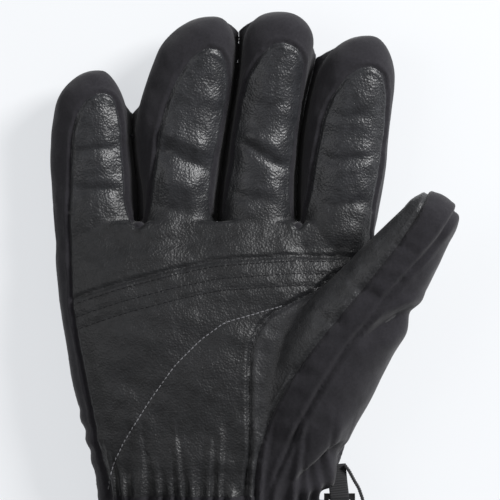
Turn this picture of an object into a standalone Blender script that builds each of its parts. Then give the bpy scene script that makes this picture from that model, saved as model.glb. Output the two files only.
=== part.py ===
"""Right-hand insulated ski glove, lying on its back: palm up (+Z), fingers along +Y, thumb on the +X side.

Every sewn layer is its own closed solid. A digit is four nested thimbles (leather face, fabric back,
wadding and lining), and the hand is a flattened sleeve with a stub for the thumb. All sizes are in
millimetres, and the glove is moved at the end so that its box stands centred on the origin.
"""

import math
from collections import namedtuple

import bmesh
import bpy
from mathutils import Matrix, Vector

MM = 0.001

# Layers, as depths below the outer surface
SHELL = (0.0, 1.5)
WADDING = (1.9, 4.5)
LINING = (5.1, 6.1)
SEAM_GAP = 0.4  # between two panels that are sewn edge to edge

# The line of the knuckles, on which the four fingers hinge
KNUCKLE_Y, KNUCKLE_Z = 17.0, 15.5
KNUCKLE_HALF_NOTCH = math.radians(26.0)  # half of the wedge that a finger folds into
HINGE_GAP = 0.4

# The thumb's hinge, in plan and height, and the way the thumb points in plan
THUMB_HINGE = Vector((43.5, -31.5, 33.0))
THUMB_WAY = Vector((0.6, 0.8, 0.0))
THUMB_HALF_NOTCH = math.radians(21.0)
THUMB_CLEARANCE = 0.6

# The wrist: the hand ends where the shirring starts, and the cuff starts where it ends
WRIST_TOP, WRIST_END = -102.0, -124.0
CUFF_END = -200.0
CUFF_MIDDLE = -17.5

# Webbing and its ladder-lock buckle, at the thumb side of the wrist
WEBBING, WEBBING_THICK = 8.0, 1.2
BAR = 2.6
BUCKLE_WIDTH, BUCKLE_LENGTH, BUCKLE_THICK = 13.0, 17.0, 2.6
BUCKLE_HINGE = Vector((37.6, -103.5, 17.0))
STRAP_Y = -109.5
TAIL_LINE = [(42.8, -91.5), (44.8, -96.6), (46.4, -100.5), (47.6, -104.6), (48.3, -111), (48.6, -118)]

DIGIT_ROUNDNESS = 2.3  # exponents of the superellipse sections
HAND_ROUNDNESS = 2.7
LEATHER_COLUMNS, FABRIC_COLUMNS = 4, 8
HAND_SIDES, CUFF_SIDES = 22, 20

# edges: (y, left x, right x) down the finger. face: (y, left x, right x) of its leather, ending at its top.
# tip: (x, y), and dome is how far from the tip the end starts to round off.
Finger = namedtuple("Finger", "edges face tip dome height floor lift")

FINGERS = {
    "little": Finger(
        edges=[(10, -82.2, -48.2), (25, -83.2, -48.6), (38, -84.0, -49.4), (50, -83.4, -50.9), (62, -82.0, -53.0)],
        face=[(28, -75.4, -51.5), (40, -75.2, -52.3), (50, -74.3, -53.3), (58, -71.8, -54.8), (63, -68, -56), (66, -63, -58.5)],
        tip=(-62.5, 75), dome=15, height=24.5, floor=0.6, lift=3.0,
    ),
    "ring": Finger(
        edges=[(10, -44.6, -15.0), (25, -45.8, -13.4), (38, -48.2, -11.8), (50, -48.6, -9.9), (63, -46, -7.8), (75, -43, -6.2), (84, -38.6, -5.6)],
        face=[(30, -40.8, -15.4), (45, -39.4, -13.2), (60, -35.6, -10.4), (72, -30.6, -7.9), (80, -24.8, -7.6), (84.5, -18, -10.5)],
        tip=(-15, 98), dome=16, height=27.0, floor=0.4, lift=4.5,
    ),
    "middle": Finger(
        edges=[(10, -13.2, 19.0), (25, -11.8, 19.1), (38, -10.4, 19.7), (50, -8.6, 20.8), (63, -6.8, 22.5), (75, -5.2, 25.2), (86, -4.5, 26.8)],
        face=[(30, -8.6, 17.4), (45, -7.0, 18.4), (60, -4.4, 20.3), (72, -1, 22.6), (81, 3.6, 23.4), (86.5, 10.5, 20)],
        tip=(12.5, 100), dome=15, height=27.0, floor=0.4, lift=5.0,
    ),
    "index": Finger(
        edges=[(10, 20.6, 53.4), (25, 20.7, 55.9), (38, 21.1, 57.5), (50, 22.4, 58.5), (63, 24.6, 60.0), (75, 28.2, 60.4)],
        face=[(30, 25.6, 53.4), (42, 27.5, 55.4), (54, 30.2, 56.8), (64, 34, 57.9), (72, 39.8, 57.2), (76.3, 47, 54.5)],
        tip=(51, 90), dome=17, height=27.0, floor=0.4, lift=4.5,
    ),
}

# The hand, from the wrist to past the knuckles: (y, left x, right x, lowest z, highest z)
HAND = [
    (-112, -61.6, 27.0, 3.0, 30.0),
    (-102, -62.2, 28.5, 2.4, 31.0),
    (-88, -64.9, 33.0, 0.8, 33.5),
    (-63, -72.7, 40.0, 0.0, 35.0),
    (-38, -77.3, 45.5, 0.0, 35.0),
    (-13, -80.6, 50.5, 0.0, 33.0),
    (4, -81.6, 52.6, 0.0, 29.5),
    (30, -83.0, 55.0, 0.2, 27.5),
]

# The thumb and its root, as sections square to its line: (x, y, z, half width, half height)
THUMB_ROOT = [(12, -91, 17, 16, 12), (20.5, -72, 21, 22, 16), (31, -51, 27, 22.5, 17), (43.5, -31.5, 33, 20.5, 16), (51, -21.5, 36, 19, 15.5)]
THUMB = [(43.5, -31.5, 33, 20.5, 16), (52, -19.5, 36.5, 18, 15), (60, -8, 39.5, 15.8, 14.2), (68, 3, 42, 14, 13.6), (73, 10, 43.5, 12.8, 13)]
THUMB_TIP, THUMB_DOME = Vector((80.5, 20.5, 45.5)), 12.0
THUMB_FACE = [(114, 232), (112, 230), (112, 226), (114, 222), (118, 214)]  # degrees round the section

# Seam lines in plan, chosen by hand along the palm
PALM_SIDE_SEAM = [(-75.6, 40), (-75.4, 0), (-74.8, -21), (-72.2, -38), (-68.5, -60), (-63.8, -84), (-59.6, -103), (-58.5, -115)]
PALM_CROSS_SEAM = [(-75.0, -20.8), (-64.8, -17.1), (-48, -11.8), (-31.5, -7.4), (-18, -4.4), (0, -3.2), (27, -2.8), (60, -3.6)]
THUMB_SEAM = [(14, -24.4), (8.7, -27), (4, -35), (1.3, -45.5), (0.7, -57), (0.8, -73.5), (1.4, -87), (1.6, -115)]
FACE_SEAM = [(34.9, -28.9), (20.1, -49.6), (11.3, -64.3), (6.7, -76), (4.4, -92), (4.2, -115)]

CUFF = [  # (y, half width, lowest z, highest z)
    (-124.4, 45.0, 2.0, 31.0), (-138, 49.0, 0.0, 35.0), (-165, 56.0, 0.0, 39.0), (-200, 62.0, 0.0, 42.0)
]
CUFF_ROUNDNESS = 2.5

LEATHER = ((0.035, 0.036, 0.040), 0.42)
SOFTSHELL = ((0.022, 0.021, 0.026), 0.85)
FLEECE = ((0.03, 0.03, 0.034), 0.95)
FOAM = ((0.55, 0.55, 0.52), 0.9)
WEB = ((0.02, 0.02, 0.021), 0.8)
PLASTIC = ((0.02, 0.02, 0.022), 0.35)


def clear_scene():
    for obj in list(bpy.data.objects):
        bpy.data.objects.remove(obj)


def material(obj, name, look):
    colour, roughness = look
    found = bpy.data.materials.get(name)
    if found is None:
        found = bpy.data.materials.new(name)
        found.use_nodes = True
        shader = found.node_tree.nodes["Principled BSDF"]
        shader.inputs["Base Color"].default_value = (*colour, 1.0)
        shader.inputs["Roughness"].default_value = roughness
        found.diffuse_color = (*colour, 1.0)
    obj.data.materials.append(found)
    return obj


def add_object(name, points, faces):
    """A mesh object from points in millimetres, its faces turned outwards."""
    mesh = bpy.data.meshes.new(name)
    mesh.from_pydata([Vector(p) * MM for p in points], [], faces)
    work = bmesh.new()
    work.from_mesh(mesh)
    bmesh.ops.remove_doubles(work, verts=work.verts, dist=1e-7)
    bmesh.ops.recalc_face_normals(work, faces=work.faces)
    bmesh.ops.triangulate(work, faces=work.faces)
    work.to_mesh(mesh)
    work.free()
    obj = bpy.data.objects.new(name, mesh)
    bpy.context.scene.collection.objects.link(obj)
    return obj


def between(rows, at):
    """The row of numbers at that first value, in straight lines between the rows given."""
    rows = sorted(rows)
    at = min(max(at, rows[0][0]), rows[-1][0])
    for low, high in zip(rows, rows[1:]):
        if at <= high[0]:
            share = (at - low[0]) / (high[0] - low[0])
            return [a + (b - a) * share for a, b in zip(low[1:], high[1:])]
    return list(rows[-1][1:])


def on_ellipse(angle, roundness):
    """A point of the unit superellipse, as (across, up)."""
    c, s = math.cos(angle), math.sin(angle)
    power = 2.0 / roundness
    return math.copysign(abs(c) ** power, c), math.copysign(abs(s) ** power, s)


def angle_at(across, roundness):
    """The angle on the palm side at which the superellipse is that far across."""
    across = max(-0.985, min(0.985, across))
    return math.acos(math.copysign(abs(across) ** (roundness / 2.0), across))


# ---- Digits: thimbles on a grid of rows along the digit and columns round it ----


def knuckle_cut(z):
    """Where a finger starts, at that height: straight below the hinge, and leaning away above it."""
    return KNUCKLE_Y + HINGE_GAP + max(0.0, z - KNUCKLE_Z) * math.tan(KNUCKLE_HALF_NOTCH)


def finger_section(finger, y, depth):
    """(middle x, its own y, middle z, half width, half height) of the finger at y, that deep below its surface."""
    tip_x, tip_y = finger.tip
    left, right = between(finger.edges, y)
    rise = max(0.0, y - KNUCKLE_Y) / (tip_y - KNUCKLE_Y)
    middle, half = (left + right) / 2, (right - left) / 2 - depth
    half_height = finger.height / 2 - 1.2 * rise - depth
    up = finger.floor + finger.height / 2 + finger.lift * rise**1.6
    dome_start = tip_y - finger.dome
    into = max(0.0, (y - dome_start) / finger.dome)
    if into > 0:
        shrink = math.sqrt(max(0.0, 1.0 - into**2))
        middle += (tip_x - middle) * into**1.5
        half, half_height = half * shrink, half_height * shrink
        y = dome_start + into * (finger.dome - depth)
    return middle, y, up, half, half_height


def finger_grid(finger, depth, shift):
    """Rows of points from the knuckle to the tip. shift narrows the leather's columns by that many millimetres."""
    tip_x, tip_y = finger.tip
    face_top = finger.face[-1][0]
    end_rows = [tip_y - finger.dome * share for share in (0.45, 0.2)]
    heights = [KNUCKLE_Y, *[row[0] for row in finger.face[:-1]], face_top - shift]
    heights += [y for y in end_rows if y > face_top + 2]
    rows = []
    for y in heights:
        middle, own_y, up, half, half_height = finger_section(finger, y, depth)
        left, right = between(finger.face, y)
        start = angle_at((right - shift - middle) / half, DIGIT_ROUNDNESS)
        end = angle_at((left + shift - middle) / half, DIGIT_ROUNDNESS)
        row = []
        for angle in column_angles(start, max(end, start + 0.3)):
            across, rise = on_ellipse(angle, DIGIT_ROUNDNESS)
            point = Vector((middle + half * across, own_y, up + half_height * rise))
            if y == heights[0]:
                point.y = knuckle_cut(point.z)
            row.append(point)
        rows.append(row)
    up = finger.floor + finger.height / 2 + finger.lift
    return rows, Vector((tip_x, tip_y - depth, up))


def column_angles(start, end):
    """The leather's columns from start to end over the palm side, then the fabric's back round to start."""
    rest = 2 * math.pi - (end - start)
    leather = [start + (end - start) * k / LEATHER_COLUMNS for k in range(LEATHER_COLUMNS)]
    fabric = [end + rest * k / FABRIC_COLUMNS for k in range(FABRIC_COLUMNS)]
    return leather + fabric


def thumb_frame(centre, ahead):
    """Across and up directions of a section square to the way ahead."""
    way = ahead.normalized()
    across = way.cross(Vector((0, 0, 1))).normalized()
    return across, across.cross(way).normalized()


def thumb_sections(depth):
    """(centre, across, up, half width, half height) from the hinge to just before the tip."""
    line = [Vector(row[:3]) for row in THUMB] + [THUMB_TIP]
    sections = []
    for i, row in enumerate(THUMB):
        ahead = line[i + 1] - line[max(i - 1, 0)]
        across, up = thumb_frame(line[i], ahead)
        sections.append((line[i], across, up, row[3] - depth, row[4] - depth))
    centre, across, up, half, half_height = sections[-1]
    way = (THUMB_TIP - centre).normalized()
    reach = (THUMB_TIP - centre).length - depth
    for share in (0.55, 0.85):
        shrink = math.sqrt(1 - share**2)
        sections.append((centre + way * reach * share, across, up, half * shrink, half_height * shrink))
    return sections, centre + way * reach


def thumb_cut(point):
    """The point moved along the thumb's way in plan, onto the sloping face that starts at its hinge."""
    along = (point - THUMB_HINGE).dot(THUMB_WAY)
    wanted = HINGE_GAP + max(0.0, point.z - THUMB_HINGE.z) * math.tan(THUMB_HALF_NOTCH)
    return point + THUMB_WAY * (wanted - along)


def thumb_grid(depth, shift):
    sections, tip = thumb_sections(depth)
    rows = []
    for i, (centre, across, up, half, half_height) in enumerate(sections):
        start, end = THUMB_FACE[min(i, len(THUMB_FACE) - 1)]
        start = math.radians(start) + shift / half
        end = math.radians(end) - shift / half
        row = []
        for angle in column_angles(start, end):
            a, u = on_ellipse(angle, DIGIT_ROUNDNESS)
            point = centre + across * half * a + up * half_height * u
            row.append(thumb_cut(point) if i == 0 else point)
        rows.append(row)
    if shift:
        last = len(THUMB_FACE) - 1
        way = (tip - sections[last][0]).normalized()
        rows[last] = [p - way * shift for p in rows[last]]
    return rows, tip


def thimble(name, grids, wanted):
    """A closed solid from the wanted cells of an outer and an inner grid, with walls along their edges.

    A cell is (row, column). The last row of cells closes on the tip.
    """
    (outer, outer_tip), (inner, inner_tip) = grids
    rows, columns = len(outer), len(outer[0])
    points = [p for grid in (outer, inner) for row in grid for p in row] + [outer_tip, inner_tip]
    layer = rows * columns

    def index(side, row, column):
        if row == rows:
            return 2 * layer + side
        return side * layer + row * columns + column % columns

    cells = [(r, c) for r in range(rows) for c in range(columns) if wanted(r, c)]
    faces, edges = [], {}
    for r, c in cells:
        corners = [(r, c), (r, c + 1), (r + 1, c + 1), (r + 1, c)]
        keys = [("tip",) if a == rows else (a, b % columns) for a, b in corners]
        for side in (0, 1):
            ring = list(dict.fromkeys(index(side, *corner) for corner in corners))
            faces += [ring] if len(ring) == 3 else [ring[:3], [ring[0], *ring[2:]]]
        for i in range(4):
            a, b = keys[i], keys[(i + 1) % 4]
            if a != b:
                edge = frozenset((a, b))
                edges[edge] = None if edge in edges else (corners[i], corners[(i + 1) % 4])
    for pair in filter(None, edges.values()):
        (r0, c0), (r1, c1) = pair
        faces.append([index(0, r0, c0), index(1, r0, c0), index(1, r1, c1), index(0, r1, c1)])
    used = sorted({i for face in faces for i in face})
    place = {old: new for new, old in enumerate(used)}
    return add_object(name, [points[i] for i in used], [[place[i] for i in face] for face in faces])


def make_digit(name, grid, face_rows):
    """The leather face, the fabric back, the wadding and the lining of one digit."""

    def on_face(row, column):
        return row < face_rows and column < LEATHER_COLUMNS

    half_gap = SEAM_GAP / 2
    leather = thimble(f"{name}_leather_face", [grid(d, half_gap) for d in SHELL], on_face)
    fabric = thimble(f"{name}_fabric_back", [grid(d, -half_gap) for d in SHELL], lambda r, c: not on_face(r, c))
    wadding = thimble(f"{name}_wadding", [grid(d, 0.0) for d in WADDING], lambda r, c: True)
    lining = thimble(f"{name}_lining", [grid(d, 0.0) for d in LINING], lambda r, c: True)
    material(leather, "leather", LEATHER)
    material(fabric, "fabric", SOFTSHELL)
    material(wadding, "wadding", FOAM)
    material(lining, "lining", FLEECE)
    return [leather, fabric, wadding, lining]


# ---- Hand and cuff: lofts, joined and cut with Booleans ----


def ring_of(centre, across, up, half, half_height, sides, roundness):
    """The points of one section, whose own flats reach the half width and half height given."""
    unit = [on_ellipse(2 * math.pi * (k + 0.5) / sides, roundness) for k in range(sides)]
    wide, tall = max(a for a, _ in unit), max(u for _, u in unit)
    return [centre + across * half * a / wide + up * half_height * u / tall for a, u in unit]


def loft(name, rings):
    sides = len(rings[0])
    points = [p for ring in rings for p in ring]
    faces = [list(range(sides))[::-1], [(len(rings) - 1) * sides + k for k in range(sides)]]
    for r in range(len(rings) - 1):
        for k in range(sides):
            a, b = r * sides + k, r * sides + (k + 1) % sides
            faces += [[a, b, b + sides], [a, b + sides, a + sides]]
    return add_object(name, points, faces)


def sleeve_rings(rows, depth, sides, roundness):
    """Rings square to Y from rows of (y, left, right, low, high)."""
    rings = []
    for y, left, right, low, high in rows:
        centre = Vector(((left + right) / 2, y, (low + high) / 2))
        half, half_height = (right - left) / 2 - depth, (high - low) / 2 - depth
        rings.append(ring_of(centre, Vector((1, 0, 0)), Vector((0, 0, 1)), half, half_height, sides, roundness))
    return rings


def thumb_root(depth):
    """The stub of the thumb that belongs to the hand."""
    line = [Vector(row[:3]) for row in THUMB_ROOT]
    rings = []
    for i, row in enumerate(THUMB_ROOT):
        ahead = line[min(i + 1, len(line) - 1)] - line[max(i - 1, 0)]
        across, up = thumb_frame(line[i], ahead)
        rings.append(ring_of(line[i], across, up, row[3] - depth, row[4] - depth, 16, DIGIT_ROUNDNESS))
    return loft(f"thumb_root_{depth}", rings)


def combine(obj, other, operation, keep_other=False):
    """Applies one Boolean to obj's mesh, and removes the other object unless it is needed again."""
    modifier = obj.modifiers.new(operation, "BOOLEAN")
    modifier.operation, modifier.solver, modifier.object = operation, "EXACT", other
    bpy.context.view_layer.update()
    done = bpy.data.meshes.new_from_object(obj.evaluated_get(bpy.context.evaluated_depsgraph_get()))
    obj.modifiers.remove(modifier)
    obj.data = done
    if not keep_other:
        bpy.data.objects.remove(other)
    return obj


def keep_largest(obj):
    """Drops the slivers that a cut can leave beside the piece itself."""
    work = bmesh.new()
    work.from_mesh(obj.data)
    bmesh.ops.remove_doubles(work, verts=work.verts, dist=1e-6)
    left, bodies = set(work.verts), []
    while left:
        body, edge_of_search = set(), [next(iter(left))]
        while edge_of_search:
            vert = edge_of_search.pop()
            if vert not in body:
                body.add(vert)
                edge_of_search += [edge.other_vert(vert) for edge in vert.link_edges]
        bodies.append(body)
        left -= body
    bodies.sort(key=len)
    bmesh.ops.delete(work, geom=[vert for body in bodies[:-1] for vert in body], context="VERTS")
    work.to_mesh(obj.data)
    work.free()
    return obj


def prism(name, outline, low, high):
    """The outline in plan, as (x, y) points, stood up from low to high."""
    count = len(outline)
    points = [Vector((x, y, z)) for z in (low, high) for x, y in outline]
    faces = [list(range(count)), list(range(count, 2 * count))]
    faces += [[k, (k + 1) % count, (k + 1) % count + count, k + count] for k in range(count)]
    return add_object(name, points, faces)


def side_prism(name, outline, low, high, way=Vector((0, 1, 0)), origin=Vector((0, 0, 0))):
    """The outline as (along way, height) points, stretched from low to high across it."""
    across = Vector((way.y, -way.x, 0))
    count = len(outline)
    points = [origin + way * a + across * x + Vector((0, 0, z)) for x in (low, high) for a, z in outline]
    faces = [list(range(count)), list(range(count, 2 * count))]
    faces += [[k, (k + 1) % count, (k + 1) % count + count, k + count] for k in range(count)]
    return add_object(name, points, faces)


def knuckle_cutter():
    """All that lies past the knuckles, and the wedge of the palm that the fingers fold into."""
    rise = 60.0
    lean = rise * math.tan(KNUCKLE_HALF_NOTCH)
    start = KNUCKLE_Y - HINGE_GAP
    outline = [(start, -20), (120, -20), (120, KNUCKLE_Z + rise), (start - lean, KNUCKLE_Z + rise), (start, KNUCKLE_Z)]
    return side_prism("knuckle_cutter", outline, -120, 120)


def thumb_cutter():
    """The same past the thumb's hinge, kept to the thumb's own width and height."""
    rise = 40.0
    lean = rise * math.tan(THUMB_HALF_NOTCH)
    low = THUMB_HINGE.z - 20.0
    outline = [(-HINGE_GAP, low), (60, low), (60, THUMB_HINGE.z + rise), (-HINGE_GAP - lean, THUMB_HINGE.z + rise), (-HINGE_GAP, THUMB_HINGE.z)]
    return side_prism("thumb_cutter", outline, -40, 40, THUMB_WAY, Vector((THUMB_HINGE.x, THUMB_HINGE.y, 0)))


def thumb_room(depth):
    """The dent that the palm gives way by where the thumb lies over it, for the layer at that depth."""
    sections, tip = thumb_sections(-depth - THUMB_CLEARANCE)
    rings = []
    for centre, across, up, half, half_height in sections:
        rings.append(ring_of(centre, across, up, half, half_height, 16, DIGIT_ROUNDNESS))
    rings[0] = [p - THUMB_WAY * (p - THUMB_HINGE).dot(THUMB_WAY) for p in rings[0]]
    return loft("thumb_room", rings)


def hand_block(depth, is_core):
    """The solid hand at that depth: its sleeve, dented under the thumb, and the thumb's root.

    A core runs on past the sleeve's ends, and past the cut of the thumb.
    """
    first, last, longer = HAND[1], HAND[-1], 12.0 if is_core else 0.0
    rows = [(first[0] - longer, *first[1:]), *HAND[2:-1], (last[0] + longer, *last[1:])]
    block = loft(f"hand_{depth}", sleeve_rings(rows, depth, HAND_SIDES, HAND_ROUNDNESS))
    block = combine(block, thumb_room(depth), "DIFFERENCE")
    root = thumb_root(depth)
    if not is_core:
        root = combine(root, thumb_cutter(), "DIFFERENCE")
    return combine(block, root, "UNION")


def hand_layer(name, depths, room=None, operation="INTERSECT"):
    """One layer of the hand: the block, kept to a room or clear of it, then cored and cut at the knuckles."""
    layer = hand_block(depths[0], False)
    if room is not None:
        layer = combine(layer, room, operation)
    layer = combine(layer, hand_block(depths[1], True), "DIFFERENCE")
    layer = keep_largest(combine(layer, knuckle_cutter(), "DIFFERENCE"))
    layer.name = name
    return layer


def hand_regions():
    """The outlines in plan of the palm side's panels. Each shares its seam lines with its neighbours."""
    far_left, far_right, top, bottom = -100.0, 100.0, 60.0, -115.0
    side, cross, thumb, face = PALM_SIDE_SEAM, PALM_CROSS_SEAM, THUMB_SEAM, FACE_SEAM
    root_left = (25.0, -17.0)
    root_right = (70.0, -51.3)
    lower_side = [p for p in side if p[1] < cross[0][1] - 1]
    upper_side = [(side[0][0], top), (side[1][0], side[1][1])]
    return {
        "palm_upper_leather": [*upper_side, *cross, (far_right, cross[-1][1]), (far_right, top)],
        "palm_lower_leather": [*cross[::-1], *lower_side, *thumb[::-1], root_left, root_right, (far_right, -51.3), (far_right, cross[-1][1])],
        "thumb_root_leather": [*thumb, face[-1], *face[:-1][::-1], root_left],
        "thumb_root_fabric": [*face, (far_right, bottom), (far_right, -51.3), root_right],
        "little_side_fabric": [(far_left, top), (side[0][0], top), *side[1:], (far_left, bottom)],
    }


def shrunk(outline, by):
    """The outline moved inwards by that much, with mitred corners."""
    area = sum(a[0] * b[1] - b[0] * a[1] for a, b in zip(outline, outline[1:] + outline[:1]))
    turn = math.copysign(1.0, area)
    points = [Vector(p) for p in outline]
    moved = []
    for i, point in enumerate(points):
        before = (point - points[i - 1]).normalized()
        after = (points[(i + 1) % len(points)] - point).normalized()
        inward = Vector((-before.y, before.x)) * turn + Vector((-after.y, after.x)) * turn
        inward.normalize()
        square = max(0.4, inward.dot(Vector((-before.y, before.x)) * turn))
        moved.append(tuple(point + inward * by / square))
    return moved


def make_hand():
    """The five palm-side panels, the back panel, the wadding with its knuckle foam, and the lining."""
    half_gap, waist = SEAM_GAP / 2, 15.0
    made = []
    for name, outline in hand_regions().items():
        panel = hand_layer(name, SHELL, prism("region", shrunk(outline, half_gap), waist + half_gap, 90.0))
        look = LEATHER if name.endswith("leather") else SOFTSHELL
        made.append(material(panel, name.rsplit("_", 1)[1], look))
    under = prism("under", [(-110, -130), (110, -130), (110, 60), (-110, 60)], -10.0, waist - half_gap)
    made.append(material(hand_layer("back_fabric", SHELL, under), "fabric", SOFTSHELL))

    foam_outline = [(-66, -22), (36, -22), (36, 8), (-66, 8)]
    foam_box = prism("foam_box", shrunk(foam_outline, half_gap), -5.0, 12.0)
    foam_room = prism("foam_room", shrunk(foam_outline, -half_gap), -6.0, 12.4)
    made.append(material(hand_layer("knuckle_foam", WADDING, foam_box), "foam", FOAM))
    made.append(material(hand_layer("hand_wadding", WADDING, foam_room, "DIFFERENCE"), "wadding", FOAM))
    made.append(material(hand_layer("hand_lining", LINING), "lining", FLEECE))
    return made


def sleeve_ring(name, rows, depths, ends):
    """An open-ended sleeve between two depths, whose core runs past both ends."""
    start, end = ends
    inside = [(between(rows_y(rows), y)) for y in (start, end)]
    stations = sorted([(start, *inside[0]), *[r for r in rows if start < r[0] < end], (end, *inside[1])])
    outside = loft(name, sleeve_rings(stations, depths[0], CUFF_SIDES, CUFF_ROUNDNESS))
    longer = [(stations[0][0] - 5, *stations[0][1:]), *stations, (stations[-1][0] + 5, *stations[-1][1:])]
    core = loft(name + "_core", sleeve_rings(longer, depths[1], CUFF_SIDES, CUFF_ROUNDNESS))
    return combine(outside, core, "DIFFERENCE")


def rows_y(rows):
    return [tuple(row) for row in rows]


def cuff_rows():
    return sorted((y, CUFF_MIDDLE - half, CUFF_MIDDLE + half, low, high) for y, half, low, high in CUFF)


def make_wrist():
    """The shirred fabric that draws the wrist in, and the elastic tape inside it."""
    rows = [(WRIST_END, -61.5, 27.0, 3.2, 30.2), (WRIST_TOP, -61.5, 27.0, 3.2, 30.2)]
    ends = (WRIST_END + HINGE_GAP, WRIST_TOP - HINGE_GAP)
    shirring = sleeve_ring("wrist_shirring", rows, SHELL, ends)
    tape = sleeve_ring("wrist_elastic_tape", rows, (1.9, 3.1), (WRIST_END + 4, WRIST_TOP - 4))
    return [material(shirring, "fabric", SOFTSHELL), material(tape, "elastic", WEB)]


def make_cuff():
    """The gauntlet: two panels, a lining, the hem's binding, a hanging loop and a blank care label."""
    rows, waist, half_gap = cuff_rows(), 18.0, SEAM_GAP / 2
    ends = (CUFF_END + 6.0, WRIST_END - HINGE_GAP)
    room = [(-110, -230), (110, -230), (110, -100), (-110, -100)]
    made = []
    for name, low, high in (("cuff_palm_panel", waist + half_gap, 60.0), ("cuff_back_panel", -10.0, waist - half_gap)):
        panel = combine(sleeve_ring(name, rows, SHELL, ends), prism("half", room, low, high), "INTERSECT")
        panel.name = name
        made.append(material(panel, "fabric", SOFTSHELL))
    lining = sleeve_ring("cuff_lining", rows, (1.9, 3.4), ends)
    binding = sleeve_ring("cuff_hem_binding", rows, (-0.6, 4.0), (CUFF_END, CUFF_END + 5.6))
    made += [material(lining, "lining", FLEECE), material(binding, "binding", WEB)]

    loop_line = [(-3.0, 0), (-3.0, -12), (-1.6, -15), (1.6, -15), (3.0, -12), (3.0, 0)]
    at = Vector((CUFF_MIDDLE, CUFF_END - 0.4, 20.0))
    inner = [(x * 0.6, y + (1.3 if y < -1 else 0)) for x, y in loop_line]
    outline = [(CUFF_MIDDLE + 24 + x, CUFF_END + 9 + y) for x, y in [*loop_line, *inner[::-1]]]
    loop = prism("hanging_loop", outline, 33.0, 36.0)
    label = prism("care_label", [(at.x - 12, -192), (at.x + 12, -192), (at.x + 12, -172), (at.x - 12, -172)], 4.2, 4.8)
    made += [material(loop, "webbing", WEB), material(label, "label", FOAM)]
    return made


def band(name, line, width, thick, across):
    """A flat band along a line of points: across is the way its width runs."""
    points, faces = [], []
    for i, point in enumerate(line):
        ahead = (line[min(i + 1, len(line) - 1)] - line[max(i - 1, 0)]).normalized()
        out = ahead.cross(across).normalized()
        points += [point + across * a * width / 2 + out * o * thick / 2 for a, o in ((-1, -1), (1, -1), (1, 1), (-1, 1))]
    for i in range(len(line) - 1):
        faces += [[4 * i + k, 4 * i + (k + 1) % 4, 4 * i + 4 + (k + 1) % 4, 4 * i + 4 + k] for k in range(4)]
    faces += [[3, 2, 1, 0], [4 * (len(line) - 1) + k for k in range(4)]]
    return material(add_object(name, points, faces), "webbing", WEB)


def arc(centre, radius, start, end, steps, u, v):
    """Points on an arc in the plane of u and v, its angles in degrees from u towards v."""
    turn = [math.radians(start + (end - start) * k / steps) for k in range(steps + 1)]
    return [centre + u * radius * math.cos(t) + v * radius * math.sin(t) for t in turn]


def make_strap():
    """The wrist strap: its webbing over the back of the wrist, the buckle, the loop that holds it, and the tail."""
    x, y, z = Vector((1, 0, 0)), Vector((0, 1, 0)), Vector((0, 0, 1))
    grip = BAR * 0.71 + 0.5 + WEBBING_THICK / 2
    top = BUCKLE_HINGE + y * 13.0
    loop_line = [top + z * grip, *arc(BUCKLE_HINGE, grip, 90, -90, 8, -y, z), top - z * grip]
    loop = band("buckle_loop", loop_line, WEBBING, WEBBING_THICK, x)

    frame_middle = BUCKLE_HINGE - y * (BUCKLE_LENGTH / 2 - BAR / 2)
    outline = [(-1, -1), (1, -1), (1, 1), (-1, 1)]
    half_w, half_l = BUCKLE_WIDTH / 2, BUCKLE_LENGTH / 2
    frame_outline = [(frame_middle.x + a * half_w, frame_middle.y + b * half_l) for a, b in outline]
    low, high = frame_middle.z - BUCKLE_THICK / 2, frame_middle.z + BUCKLE_THICK / 2
    buckle = prism("ladder_lock_buckle", frame_outline, low, high)
    slot_half, slot_w = (BUCKLE_LENGTH - 3 * BAR) / 4, WEBBING / 2 + 0.5
    for side in (1, -1):
        middle = frame_middle + y * side * (BAR + slot_half * 2) / 2
        slot = [(middle.x + a * slot_w, middle.y + b * slot_half) for a, b in outline]
        buckle = combine(buckle, prism("slot", slot, low - 2, high + 2), "DIFFERENCE")
    buckle.name = "ladder_lock_buckle"
    material(buckle, "plastic", PLASTIC)

    # The threaded webbing comes from below, over the middle bar, and down into the upper slot
    over_bar = arc(frame_middle, grip, 180, 0, 8, y, z)
    start, end = over_bar[0], over_bar[-1]
    threaded_line = [start - y * 9.0 - z * 3.8, start - y * 2.2 - z * 3.4, start - y * 0.5 - z * 1.9]
    threaded_line += [*over_bar, end - z * 2.2]
    threaded = band("strap_threaded", threaded_line, WEBBING, WEBBING_THICK, x)

    strap_line = [Vector((-48 + 9 * k, STRAP_Y, 1.4)) for k in range(9)]
    strap_line += arc(Vector((24.0, STRAP_Y, 9.4)), 8.0, -90, -8, 6, x, z)[1:]
    strap = band("wrist_strap", strap_line, WEBBING, WEBBING_THICK, y)

    tail = band("strap_tail", [Vector((*p, BUCKLE_HINGE.z)) for p in TAIL_LINE], WEBBING, WEBBING_THICK, z)
    end_x, end_y = TAIL_LINE[-1]
    corners = [(-1.2, -6.2), (1.2, -6.2), (1.2, -0.3), (-1.2, -0.3)]
    low, high = BUCKLE_HINGE.z - 4.6, BUCKLE_HINGE.z + 4.6
    tab = prism("tail_end_tab", [(end_x + a, end_y + b) for a, b in corners], low, high)
    return [loop, buckle, threaded, strap, tail, material(tab, "plastic", PLASTIC)]


def centre_on_origin(objects):
    """Moves the whole glove so that the bottom centre of its box is at the origin."""
    corners = [v.co for obj in objects for v in obj.data.vertices]
    low = Vector([min(c[k] for c in corners) for k in range(3)])
    high = Vector([max(c[k] for c in corners) for k in range(3)])
    shift = Vector((-(low.x + high.x) / 2, -(low.y + high.y) / 2, -low.z))
    for obj in objects:
        obj.data.transform(Matrix.Translation(shift))
    print("glove moved by", [round(v / MM, 3) for v in shift], "mm")


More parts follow.
